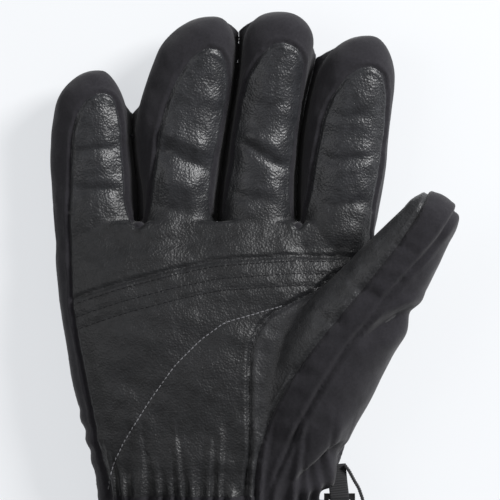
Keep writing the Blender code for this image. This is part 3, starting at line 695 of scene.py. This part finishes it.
def creases(points):
    """The folds that the glove has taken from use and from how it lies."""
    total = np.zeros(len(points))
    for line, height, width in (
        # ring finger: the slanting fold below its middle, with the hollow under it
        ([(-42, 53), (-37.8, 50.4), (-26, 44.6), (-13.4, 38.6)], 0.9, (4.0, 2.0)),
        ([(-42, 44), (-34, 41.2), (-24, 36.8), (-15, 32)], -1.6, 3.2),
        ([(-40, 30), (-30, 27), (-20, 23.6)], 0.7, 3.6),
        ([(-43, 18), (-34, 17), (-22, 15)], -0.8, 2.6),
        # middle finger
        ([(-7, 46), (1, 42.5), (11, 36), (18, 33)], -1.3, 2.4),
        ([(-6, 50), (4, 47), (14, 41)], 0.7, 2.6),
        ([(-9, 24), (0, 21.5), (12, 21)], -0.9, 2.6),
        ([(-4, 62), (6, 60.5), (18, 62)], -0.6, 2.6),
        # little finger
        ([(-76, 42), (-68, 41.4), (-58, 42.6), (-54, 43)], -0.9, 1.8),
        ([(-76, 26), (-68, 25), (-58, 25.6), (-52, 26)], -0.9, 1.8),
        ([(-75, 33), (-66, 34.5), (-56, 34)], 0.4, 2.4),
        # index finger
        ([(26, 40), (36, 37), (46, 38), (55, 41)], -1.0, 2.2),
        ([(24, 20), (34, 18.4), (44, 19.5), (52, 22)], -0.9, 2.4),
        ([(30, 57), (40, 55), (52, 57)], -0.6, 2.2),
        # palm
        ([(-70, 4), (-52, 1.5), (-30, 3.5), (-8, 7), (10, 6)], -1.1, 4.0),
        ([(14, 4), (24, 0), (34, -1), (46, 2)], -1.6, 4.5),
        ([(-66, -30), (-50, -36), (-34, -38), (-18, -34)], 0.7, 7.0),
        ([(-60, -46), (-48, -58), (-38, -72), (-34, -86)], -0.8, 5.0),
        ([(2, -28), (-10, -38), (-20, -52), (-24, -68)], 0.7, 6.0),
        ([(-12, -66), (-8, -78), (-7, -92)], -1.0, 3.2),
        # heel, beside the thumb's root
        ([(16, -99), (22, -96), (29, -91), (35, -85), (40, -78)], -5.0, (2.2, 3.4)),
        ([(18, -103), (30, -98), (42, -88)], 1.6, 2.6),
        ([(22, -88), (32, -80), (42, -68)], 1.0, 4.0),
        ([(14, -84), (24, -77), (33, -68)], -0.8, 3.0),
        # thumb
        ([(42, -34), (52, -27), (64, -21), (76, -17.5)], 1.9, (2.4, 3.0)),
        ([(44, -40), (55, -32.5), (66, -26.5), (74, -24)], -2.8, 2.8),
        ([(54, -41), (62, -36), (70, -33)], 0.8, 3.4),
        ([(40, -16), (47, -16.5), (55, -21)], -1.1, 2.6),
        ([(26, -28), (34, -29), (42, -33)], -1.0, 3.0),
        ([(58, 3), (64, 1), (72, -3)], -0.7, 2.2),
        ([(8, -52), (18, -50), (30, -53)], -0.7, 3.4),
        ([(52, -6), (60, -9), (70, -12)], 0.5, 2.4),
    ):
        total += ridge(points, line, height, width)
    for y, x in ((-71, -71), (-80, -68), (-88.5, -65)):
        across = bump(points[:, 0] - x, 4.5)
        total += across * (0.8 * bump(points[:, 1] - y, 3.0) - 0.3 * bump(points[:, 1] - y - 4.4, 1.8))
    return total


def build_surface():
    """The outer surface with its seams, folds and gathers: points, triangles, and the panel of each."""
    points, quads = outer_surface()
    edges = edges_of(quads)
    points = relaxed(points, edges, 16)
    thumb_join = bump(digit_depth(points), 4.0) * (points[:, 1] < -16) * (points[:, 2] > 14)
    points = relaxed(points, edges, 30, mask=thumb_join, shrinking=True)
    faces = triangles_of(points, quads)
    edges = edges_of(faces)
    for name in FIELDS:
        points = snapped(points, edges, name)
    middle = points[faces].mean(axis=1)
    value = fields(middle)
    value["x"], value["y"] = middle[:, 0], middle[:, 1]
    names = panel_names(value)
    keep = names != ""
    faces, names = faces[keep], names[keep]

    used = np.zeros(len(points), bool)
    used[faces.ravel()] = True
    order = np.cumsum(used) - 1
    points, faces = points[used], order[faces]
    edges = edges_of(faces)

    # A point is on a seam where faces of two panels meet
    code = {name: k for k, name in enumerate(sorted(set(names)))}
    number = np.array([code[n] for n in names])
    low, high = np.full(len(points), 999), np.full(len(points), -1)
    for c in range(3):
        np.minimum.at(low, faces[:, c], number)
        np.maximum.at(high, faces[:, c], number)
    seam = low != high
    at_stall = np.abs(points[:, 1] - STALL_CUT) < 0.3
    at_wrist = (low == code["shirring"]) | (high == code["shirring"])
    distance = spread(points, edges, seam & ~at_stall & ~at_wrist, SEAM_REACH)

    is_leather = np.array(["leather" in n or n.startswith("palm") for n in names], float)
    leather_point = np.zeros(len(points))
    for c in range(3):
        np.maximum.at(leather_point, faces[:, c], is_leather)
    fine = normals_of(points, faces)
    broad = unit(relaxed(fine, edges, 6, shrinking=True))

    value = fields(points)
    at_side = np.clip(1 - (points[:, 2] - SIDE_SEAM_Z) / 2, 0.25, 1) * (points[:, 2] < SIDE_SEAM_Z + 2)
    depth = 1 - 0.75 * at_side * (points[:, 0] < SIDE_PANEL_X)
    depth *= 1 - 0.2 * bump(PLAN["cross"](points), 3.0) * (value["leather"] < -2)
    swell = SWELL * bump(distance - 2 * SEAM_WIDTH, SEAM_WIDTH)
    lift = depth * (swell - SEAM_DEPTH * bump(distance, SEAM_WIDTH))
    lift -= 0.8 * bump(PLAN["thumb"](points), 0.9) * (points[:, 2] > 18) * (points[:, 1] < THUMB_SEAM_TOP)
    lift += leather_point * 0.5 * np.clip((distance - 1) / 7, 0, 1)
    back = PLAN["thumb_back"](points)
    upper = np.clip((points[:, 2] - 16) / 4, 0, 1)
    groove = upper * (-1.3 * bump(back, 0.9) + 0.35 * bump(np.abs(back) - 2.2, 1.0))
    lift += groove * (value["thumb"] < 0) * (value["face"] > 0)
    stitched = np.zeros(len(points))
    for offset in CROSS_STITCH_ROWS:
        run = PLAN["cross"](points) + offset
        stitched += bump(run, 0.75) * (value["leather"] < 0) * (value["thumb"] > 2) * (points[:, 2] > 20)
    at_topstitch = (points[:, 2] > 18) * (points[:, 1] < TOPSTITCH_TO) * (points[:, 1] > TOPSTITCH_FROM)
    stitched += bump(PLAN["topstitch"](points), 0.8) * at_topstitch
    lift -= 0.4 * np.clip(stitched, 0, 1)
    lift += pleats(points) * np.clip(distance / 2 + 0.35, 0, 1)
    lift += creases(points)
    quiet = 0.2 + 0.8 * np.clip((fine[:, 2] - 0.1) / 0.5, 0, 1)
    lumps = 0.4 * softness(points, 26, 5) + 0.16 * softness(points, 11, 9) + 0.05 * softness(points, 5, 12)
    lift += quiet * lumps
    points[:, 0] += closed_gaps(points, fine)
    points = points + broad * lift[:, None]
    points[:, 2] = np.maximum(points[:, 2], 0.1)
    return relaxed(points, edges, 2), faces, names


# ---- Materials ----


def material(name, colour, roughness, **more):
    made = bpy.data.materials.new(name)
    made.use_nodes = True
    shader = made.node_tree.nodes["Principled BSDF"]
    shader.inputs["Base Color"].default_value = (*colour, 1)
    shader.inputs["Roughness"].default_value = roughness
    for key, value in more.items():
        shader.inputs[key.replace("_", " ")].default_value = value
    return made


def node(made, kind, links=(), **values):
    """A shader node with its values set, and its inputs linked from other nodes' outputs."""
    new = made.node_tree.nodes.new(kind)
    for key, value in values.items():
        if key in new.inputs:
            new.inputs[key].default_value = value
        else:
            setattr(new, key, value)
    for key, output in dict(links).items():
        made.node_tree.links.new(output, new.inputs[key])
    return new


def coordinates(made):
    return node(made, "ShaderNodeTexCoord").outputs["Object"]


def noise(made, place, scale, detail, **more):
    new = node(made, "ShaderNodeTexNoise", {"Vector": place}, Scale=scale, Detail=detail, **more)
    return new.outputs["Fac"]


def add_bump(made, layers):
    """Bump from several (height output, strength, distance in metres), each on top of the last."""
    normal = None
    for height, strength, distance in layers:
        links = {"Height": height} if normal is None else {"Height": height, "Normal": normal}
        normal = node(made, "ShaderNodeBump", links, Strength=strength, Distance=distance).outputs["Normal"]
    made.node_tree.links.new(normal, made.node_tree.nodes["Principled BSDF"].inputs["Normal"])


def mottled(made, place, dark, light, scale, detail=3.0):
    """Base colour that wanders between two colours."""
    ramp = node(made, "ShaderNodeValToRGB", {"Fac": noise(made, place, scale, detail, Roughness=0.6)})
    for element, position, colour in zip(ramp.color_ramp.elements, (0.35, 0.68), (dark, light)):
        element.position, element.color = position, (*colour, 1)
    shader = made.node_tree.nodes["Principled BSDF"]
    made.node_tree.links.new(ramp.outputs["Color"], shader.inputs["Base Color"])


def painted_light_towards_fingers(made, place):
    """Painted light: the leather is painted paler from the palm to the stalls, standing in for the light on the
    finger pads against the shaded palm; it also grows glossier.
    """
    shader, links = made.node_tree.nodes["Principled BSDF"], made.node_tree.links
    along = node(made, "ShaderNodeSeparateXYZ", {"Vector": place}).outputs["Y"]
    low, high = (float(placed([0, y, 0])[1]) for y in (STALL_CUT - 10, STALL_CUT + 16))
    share = node(made, "ShaderNodeMapRange", {"Value": along}, interpolation_type="SMOOTHSTEP")
    for key, value in (("From Min", low), ("From Max", high)):
        share.inputs[key].default_value = value
    old = shader.inputs["Base Color"].links[0].from_socket
    mix = node(made, "ShaderNodeMix", {"Factor": share.outputs["Result"]}, data_type="RGBA",
               blend_type="MULTIPLY")
    first, second = (socket for socket in mix.inputs if socket.type == "RGBA")
    links.new(old, first)
    # painted highlight: the stall leather is made 1.75 times paler, standing in for the light that falls on the
    # finger pads
    second.default_value = (1.75, 1.75, 1.78, 1)
    links.new(next(socket for socket in mix.outputs if socket.type == "RGBA"), shader.inputs["Base Color"])
    rough = node(made, "ShaderNodeMapRange", {"Value": share.outputs["Result"]})
    rough.inputs["To Min"].default_value, rough.inputs["To Max"].default_value = 0.46, 0.37
    links.new(rough.outputs["Result"], shader.inputs["Roughness"])


def leather_material(name, dark, light, roughness, painted_finger_light=False):
    made = material(name, dark, roughness, Specular_IOR_Level=0.45, Sheen_Weight=0.06, Sheen_Roughness=0.4)
    place = coordinates(made)
    mottled(made, place, dark, light, 260)
    # painted light: paler leather towards the fingers, standing in for the light on the finger pads
    if painted_finger_light:
        painted_light_towards_fingers(made, place)
    pebble = node(made, "ShaderNodeTexVoronoi", {"Vector": place}, Scale=1150.0, feature="SMOOTH_F1",
                  Smoothness=0.6)
    wrinkle = noise(made, place, 420.0, 5.0, Roughness=0.62, Distortion=0.4)
    broad = noise(made, place, 120.0, 3.0)
    layers = [(broad, 0.22, 0.001), (wrinkle, 0.5, 0.00045), (pebble.outputs["Distance"], 0.6, 0.0003)]
    add_bump(made, layers)
    return made


def fabric_material(name, dark, light, roughness=0.9, sheen=0.12):
    made = material(name, dark, roughness, Specular_IOR_Level=0.25, Sheen_Weight=sheen,
                    Sheen_Roughness=0.55)
    place = coordinates(made)
    mottled(made, place, dark, light, 900, 4.0)
    weave = noise(made, place, 1900.0, 3.0, Roughness=0.7)
    pucker = noise(made, place, 170.0, 4.0)
    add_bump(made, [(pucker, 0.3, 0.0009), (weave, 0.55, 0.00022)])
    return made


def webbing_material(name, colour):
    made = material(name, colour, 0.72, Specular_IOR_Level=0.4, Sheen_Weight=0.2, Sheen_Roughness=0.4)
    add_bump(made, [(noise(made, coordinates(made), 2600.0, 2.0), 0.5, 0.0002)])
    return made


MATERIALS = {
    # the palm leather carries the painted light on the finger pads
    "leather": leather_material("palm leather", (0.009, 0.0093, 0.0105), (0.0155, 0.016, 0.0178), 0.46,
                                painted_finger_light=True),
    "thumb leather": leather_material("thumb leather", (0.018, 0.0183, 0.0203), (0.031, 0.0315, 0.0345),
                                      0.45),
    "fabric": fabric_material("softshell", (0.0145, 0.0136, 0.0172), (0.021, 0.0198, 0.0245)),
    "lining": fabric_material("fleece lining", (0.02, 0.02, 0.022), (0.045, 0.045, 0.048), 0.95, 0.4),
    "binding": webbing_material("hem binding", (0.016, 0.016, 0.018)),
    "webbing": webbing_material("webbing", (0.02, 0.02, 0.022)),
    "plastic": material("acetal", (0.022, 0.022, 0.024), 0.38, Specular_IOR_Level=0.5),
    "label": material("blank satin label", (0.68, 0.68, 0.66), 0.6),
    "grey thread": material("grey thread", (0.16, 0.16, 0.172), 0.7),
    "dark thread": material("dark thread", (0.014, 0.014, 0.016), 0.75, Specular_IOR_Level=0.2),
}


# ---- Pieces ----


def finished(name, mesh, finish, normals=None):
    """The piece made of the mesh, moved into the model's frame, with its material."""
    mesh.transform(TO_METRES)
    mesh.polygons.foreach_set("use_smooth", np.ones(len(mesh.polygons), bool))
    if normals is not None:
        mesh.normals_split_custom_set_from_vertices(normals.astype(np.float32))
    obj = linked(name, mesh)
    mesh.materials.append(MATERIALS[finish])
    return obj


def blend_stall(obj, digit):
    """Bakes the piece's transform into its mesh."""
    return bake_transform(obj)


def blend_wrist(obj):
    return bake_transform(obj)


def panel(surface, normals, name):
    """One sewn panel's mesh: its part of the surface, with a narrow hem turned in all round its edge."""
    points, faces, names = surface
    mine = faces[names == name]
    used = np.unique(mine)
    order = np.full(len(points), -1)
    order[used] = np.arange(len(used))
    local, outer, own_normals = order[mine], points[used], normals[used]
    directed = np.concatenate([local[:, [k, (k + 1) % 3]] for k in range(3)])
    count = len(used)
    key = directed[:, 0] * count + directed[:, 1]
    back_key = directed[:, 1] * count + directed[:, 0]
    rim = directed[~np.isin(key, back_key)]
    rim_points = np.unique(rim)
    place = np.full(count, -1)
    place[rim_points] = np.arange(len(rim_points))
    top = outer[rim_points]
    low = top - own_normals[rim_points] * HEM_DEPTH
    a, b = count + place[rim[:, 0]], count + place[rim[:, 1]]
    deep = len(rim_points)
    hem = np.concatenate([np.column_stack([b, a, a + deep]), np.column_stack([b, a + deep, b + deep])])
    side = np.zeros_like(top)
    way = np.cross(outer[rim[:, 1]] - outer[rim[:, 0]], own_normals[rim[:, 0]])
    np.add.at(side, place[rim[:, 0]], way)
    np.add.at(side, place[rim[:, 1]], way)
    side /= np.maximum(np.linalg.norm(side, axis=1), 1e-9)[:, None]
    mesh = mesh_of(name, np.concatenate([outer, top, low]), np.concatenate([local, hem]))
    return mesh, np.concatenate([own_normals, side, side])


def tube(rings):
    """An open tube of quads through rings of the same number of points."""
    count, sides = len(rings), len(rings[0])
    k = np.arange(sides)
    after = (k + 1) % sides
    band = np.column_stack([k, after, sides + after, sides + k])
    return np.concatenate(rings), np.concatenate([band + r * sides for r in range(count - 1)])


def sleeve_ring(y, inset, sides=SLEEVE_SIDES):
    """A ring round the sleeve at y, lying the inset inside its surface."""
    rows = smooth_rows(SLEEVE, 1.5, 5.0)
    left, right, low, high, roundness = (np.interp(y, rows[:, 0], rows[:, k]) for k in range(1, 6))
    across, upward = round_unit(sides, roundness)
    x = (left + right) / 2 + ((right - left) / 2 - inset) * across / across.max()
    z = (low + high) / 2 + ((high - low) / 2 - inset) * upward / upward.max()
    return np.column_stack([x, np.full(sides, y), z])


def lining_tube(y_from, y_to, step=1.5):
    """A brushed lining: a tube inside the sleeve with a slightly lumpy face, so that it reads as fleece."""
    at = np.arange(y_from, y_to - 0.01, -step)
    points, faces = tube([sleeve_ring(y, LINING_INSET) for y in [*at, y_to]])
    outwards = points - [MIDDLE_X, 0, 17]
    outwards[:, 1] = 0
    lumps = 0.35 * softness(points, 7, 21) + 0.2 * softness(points, 3.5, 22)
    return points + unit(outwards) * lumps[:, None], faces[:, ::-1]


def stall_lining(digit):
    """The lining of one stall, from its mouth to its closed end."""
    if digit == "thumb":
        dense, ahead = thumb_line()
        inner = thumb_rings(dense, ahead, -LINING_INSET)
        rings = [ring for ring, section in zip(inner, dense) if section[3] > 5.5 and section[1] > -62]
    else:
        points, _ = finger_solid(FINGERS[digit])
        rings = points[:-2].reshape(-1, RING_SIDES, 3)
        centre = rings.mean(axis=1, keepdims=True)
        half = (rings[:, :, [0, 2]].max(axis=1) - rings[:, :, [0, 2]].min(axis=1)) / 2
        scale = np.ones((len(rings), 1, 3))
        scale[:, 0, [0, 2]] = np.clip(1 - LINING_INSET / np.maximum(half, 3.5), 0.05, 1)
        rings = centre + (rings - centre) * scale
        kept = (rings[:, 0, 1] > 13) & (half[:, 1] > 5)
        rings = list(rings[kept])
    end = rings[-1].mean(axis=0)
    rings = [*rings, end + (rings[-1] - end) * 0.5, end + (rings[-1] - end) * 0.02]
    points, faces = tube(rings)
    return points, faces[:, ::-1] if digit != "thumb" else faces


def capsules(centres, ways, ups, length, radius):
    """Short rounded threads, one for each stitch, as one array of points and triangles."""
    ways = unit(ways)
    side = unit(np.cross(ways, ups))
    up = np.cross(side, ways)
    sides = 6
    turn = 2 * np.pi * np.arange(sides) / sides
    shape = [(-0.5, 0.25), (-0.34, 0.9), (0.0, 1.0), (0.34, 0.9), (0.5, 0.25)]  # (place, thickness)
    rings = np.array([[[s * length, math.cos(t) * r * radius,
                        math.sin(t) * r * radius - abs(s) * 0.9 * radius] for t in turn] for s, r in shape])
    basis = np.stack([ways, side, up], axis=1)
    points = np.einsum("rtk,nkj->nrtj", rings, basis) + centres[:, None, None, :]
    points = points.reshape(len(centres), len(shape) * sides, 3)
    ends = np.stack([centres - ways * length / 2, centres + ways * length / 2], axis=1)
    points = np.concatenate([points, ends], axis=1)
    offsets = np.arange(len(centres)) * points.shape[1]
    faces = loft_faces(len(shape), sides)[None] + offsets[:, None, None]
    return points.reshape(-1, 3), faces.reshape(-1, 3)


def stitch_run(tree, line, offset, pitch, length, radius, test):
    """Stitches along a line in plan, offset to its left, dropped onto the surface from above."""
    line = smooth_line(line, pitch, 2.0)
    way = unit(np.gradient(line, axis=0))
    line = line + np.column_stack([-way[:, 1], way[:, 0]]) * offset
    centres, ways, ups = [], [], []
    for (x, y), (u, v) in zip(line, way):
        hit, normal, _, _ = tree.ray_cast(Vector((x, y, 90)), Vector((0, 0, -1)))
        if hit is None or not test(hit):
            continue
        normal = np.array(normal)
        along = np.array([u, v, 0.0])
        along -= normal * (along @ normal)
        if np.linalg.norm(along) < 0.3:
            continue
        centres.append(np.array(hit) + normal * radius * 0.55)
        ways.append(along)
        ups.append(normal)
    return capsules(np.array(centres), np.array(ways), np.array(ups), length, radius)


def build_panels(surface):
    """The sewn panels: for each one, its piece's name, its material, and the nodes that it stands for."""
    points, faces, _ = surface
    normals = normals_of(points, faces)
    plan = {
        "back": ("back_fabric_panel", "fabric", ["back_fabric", "knuckle_foam", "hand_wadding"]),
        "side": ("little_side_panel", "fabric", ["little_side_fabric"]),
        "palm_upper": ("palm_upper_panel", "leather", ["palm_upper_leather"]),
        "palm_lower": ("palm_lower_panel", "leather", ["palm_lower_leather"]),
        "thumb_leather": ("thumb_leather_panel", "thumb leather", ["thumb_leather_face", "thumb_root_leather"]),
        "thumb_fabric": ("thumb_fabric_panel", "fabric", ["thumb_fabric_back", "thumb_root_fabric"]),
        "shirring": ("wrist_gathers", "fabric", ["wrist_shirring", "wrist_elastic_tape"]),
        "cuff_palm": ("cuff_palm_side", "fabric", ["cuff_palm_panel"]),
        "cuff_back": ("cuff_back_side", "fabric", ["cuff_back_panel"]),
    }
    for digit in FINGERS:
        plan[digit + "_leather"] = (digit + "_leather_tongue", "leather", [digit + "_leather_face"])
        plan[digit + "_fabric"] = (digit + "_fabric_shell", "fabric", [digit + "_fabric_back"])
    for key, (name, finish, nodes) in plan.items():
        mesh, own_normals = panel(surface, normals, key)
        obj = finished(name, mesh, finish, own_normals)
        digit = key.split("_")[0]
        if digit in FINGERS or digit == "thumb":
            blend_stall(obj, digit)
        elif key == "shirring":
            blend_wrist(obj)
        else:
            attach(obj, "cuff" if digit == "cuff" else "hand")
        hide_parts(*nodes)


def build_linings():
    for digit in [*FINGERS, "thumb"]:
        obj = finished(digit + "_stall_lining", mesh_of("lining", *stall_lining(digit)), "lining")
        blend_stall(obj, digit)
        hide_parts(digit + "_lining", digit + "_wadding")
    bag = mesh_of("lining", *lining_tube(LINING_FROM, WRIST_END))
    hand = finished("hand_lining_bag", bag, "lining")
    blend_wrist(hand)
    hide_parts("hand_lining")
    sleeve = mesh_of("lining", *lining_tube(WRIST_END, HEM))
    cuff = finished("cuff_lining_sleeve", sleeve, "lining")
    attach(cuff, "cuff")
    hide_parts("cuff_lining")


def build_binding():
    """The tape folded over the hem, as a closed ring."""
    profile = [(-188.6, 0.0), (-188.9, 1.0), (-192.5, 1.5), (-196.5, 1.3), (-198.8, 0.3), (-199.6, -1.4),
               (-198.8, -3.6), (-196.5, -4.5), (-192.5, -4.6), (-189.2, -4.2), (-188.9, -3.4)]
    rows = [sleeve_ring(y, -out, HEM_SIDES) for y, out in profile]
    points, faces = tube([*rows, rows[0]])
    count = len(profile) * HEM_SIDES
    mesh = mesh_of("binding", points[:count], np.where(faces >= count, faces - count, faces))
    obj = finished("hem_binding_tape", mesh, "binding")
    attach(obj, "cuff")
    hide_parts("cuff_hem_binding")


def build_stitches(surface):
    """The stitches in view: the topstitching beside the thumb, and three rows along the cross seam."""
    points, faces, _ = surface
    tree = BVHTree.FromPolygons(points.tolist(), faces.tolist())

    def upper(hit):
        return hit.z > 17

    def on_palm(hit):
        at = np.array([hit])
        return hit.z > 20 and PLAN["thumb"](at)[0] < -2 and PLAN["leather"](at)[0] < -1.6

    for name, thread, line, offsets, radius, pitch, test in (
        ("palm_topstitching", "grey thread", TOPSTITCH, (0.0,), 0.28, 2.1, upper),
        ("cross_seam_stitching", "dark thread", CROSS_SEAM, (2.3, *CROSS_STITCH_ROWS), 0.2, 2.5, on_palm),
    ):
        runs = [stitch_run(tree, line, -offset, pitch, pitch * 0.8, radius, test) for offset in offsets]
        obj = finished(name, mesh_of(name, *joined(runs)), thread)
        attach(obj, "hand")


def ribbon(line, across, thick, width=8.0):
    """Ribbed webbing: a closed strip along the line, with a rib every so often and rounded edges."""
    line = smooth_line(line, RIB_STEP, 0.5)
    across = np.broadcast_to(np.array(across, float), line.shape)
    ahead = unit(np.gradient(line, axis=0))
    across = unit(across - ahead * (across * ahead).sum(axis=1)[:, None])
    up = np.cross(across, ahead)
    ribs = 1 + 0.2 * np.cos(np.arange(len(line)) * RIB_STEP * 2 * np.pi / RIB_PITCH)
    ribs[[0, -1]] = 0.6
    turn = 2 * np.pi * (np.arange(RIBBON_SIDES) + 0.5) / RIBBON_SIDES
    c, s = np.cos(turn), np.sin(turn)
    wide, tall = np.sign(c) * np.abs(c) ** 0.25, np.sign(s) * np.abs(s) ** 0.35
    rings = [p + np.outer(wide * width / 2, a) + np.outer(tall * thick / 2 * r, u)
             for p, a, u, r in zip(line, across, up, ribs)]
    return loft(rings)


def build_strap():
    """The webbing at the wrist: sewn loop, threaded strap and loose tail, all ribbed."""
    x, y, z = BUCKLE_HINGE
    half_turn = np.linspace(0, math.pi, 9)
    bend = [(x, y - BAR_GRIP * math.sin(a), z + BAR_GRIP * math.cos(a)) for a in half_turn]
    loop = [(x - 1.4, y + 13.6, z + 1.2), (x - 0.8, y + 7, z + 2.6), *bend, (x - 0.8, y + 7, z - 2.4),
            (x - 1.4, y + 12.8, z - 1.0)]
    middle = y - 7.2
    over = [(x, middle - BAR_GRIP * math.cos(a), z + BAR_GRIP * math.sin(a)) for a in half_turn]
    threaded = [(x, y - 19.1, z - 3.8), (x, y - 12.3, z - 3.4), (x, y - 10.6, z - 1.9), *over,
                (x, middle + BAR_GRIP, z - 2.2)]
    tail = [(x + 2.0, y + 13.4, z), (x + 4.0, y + 10.8, z), (x + 6.0, y + 7.0, z), (x + 8.1, y + 3.5, z),
            (x + 9.7, y - 1.1, z), (x + 11.2, y - 14.4, z)]
    for name, line, across, thick, body, replaced in (
        ("webbing_loop", loop, (1, 0, 0), 1.2, "hand", "buckle_loop"),
        ("webbing_in_buckle", threaded, (1, 0, 0), 1.2, "buckle", "strap_threaded"),
        ("webbing_tail", tail, (0, 0, 1), 1.3, "strap_end", "strap_tail"),
    ):
        points, faces = ribbon(line, across, thick=thick)
        obj = finished(name, mesh_of(name, points, faces), "webbing")
        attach(obj, body)
        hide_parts(replaced)


def dress_kept_nodes():
    """Materials, and softer edges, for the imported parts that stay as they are."""
    for name, finish, radius in (
        ("hanging_loop", "webbing", 0.0002),
        ("care_label", "label", 0.0001),
        ("wrist_strap", "webbing", 0.0002),
        ("ladder_lock_buckle", "plastic", 0.0007),
        ("tail_end_tab", "plastic", 0.0006),
    ):
        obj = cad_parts[name]
        obj.data.materials.clear()
        obj.data.materials.append(MATERIALS[finish])
        edge = obj.modifiers.new("soft edges", "BEVEL")
        edge.width, edge.segments, edge.limit_method = radius, 3, "ANGLE"
        edge.angle_limit = math.radians(40)


# ---- Setting ----


def light(name, place, size, power):
    """A white area light turned towards the glove."""
    data = bpy.data.lights.new(name, "AREA")
    data.size, data.energy = size, power
    obj = bpy.data.objects.new(name, data)
    obj.location = place
    obj.rotation_euler = (Vector((0, 0.05, 0.02)) - Vector(place)).to_track_quat("-Z", "Y").to_euler()
    bpy.context.scene.collection.objects.link(obj)


def build_setting():
    floor_mesh = bpy.data.meshes.new("floor")
    corners = [(x, y, -0.0006) for x, y in ((-6, -6), (6, -6), (6, 6), (-6, 6))]
    floor_mesh.from_pydata(corners, [], [(0, 1, 2, 3)])
    floor = linked("floor", floor_mesh)
    pale = material("pale floor", (0.28, 0.282, 0.285), 0.9, Emission_Color=(0.94, 0.965, 1.0, 1),
                    Emission_Strength=0.67)
    floor_mesh.materials.append(pale)
    world = bpy.data.worlds.new("studio")
    world.use_nodes = True
    background = world.node_tree.nodes["Background"]
    background.inputs["Color"].default_value = (1, 1, 1, 1)
    background.inputs["Strength"].default_value = 0.22
    bpy.context.scene.world = world
    light("key", (1.2, 0.85, 1.0), 0.6, 40)
    light("fill", (-1.3, 0.3, 1.4), 1.2, 6)
    bpy.context.scene.view_settings.view_transform = "Standard"

    x, y, z = placed([*VIEW_CENTRE, 17.0])
    data = bpy.data.cameras.new("camera")
    data.lens, data.sensor_width = LENS, SENSOR
    camera = bpy.data.objects.new("camera", data)
    camera.location = (x, y, z + VIEW_WIDTH * LENS / SENSOR)
    bpy.context.scene.collection.objects.link(camera)
    bpy.context.scene.camera = camera


def main():
    surface = build_surface()
    build_panels(surface)
    build_linings()
    build_binding()
    build_stitches(surface)
    build_strap()
    dress_kept_nodes()
    build_setting()


main()
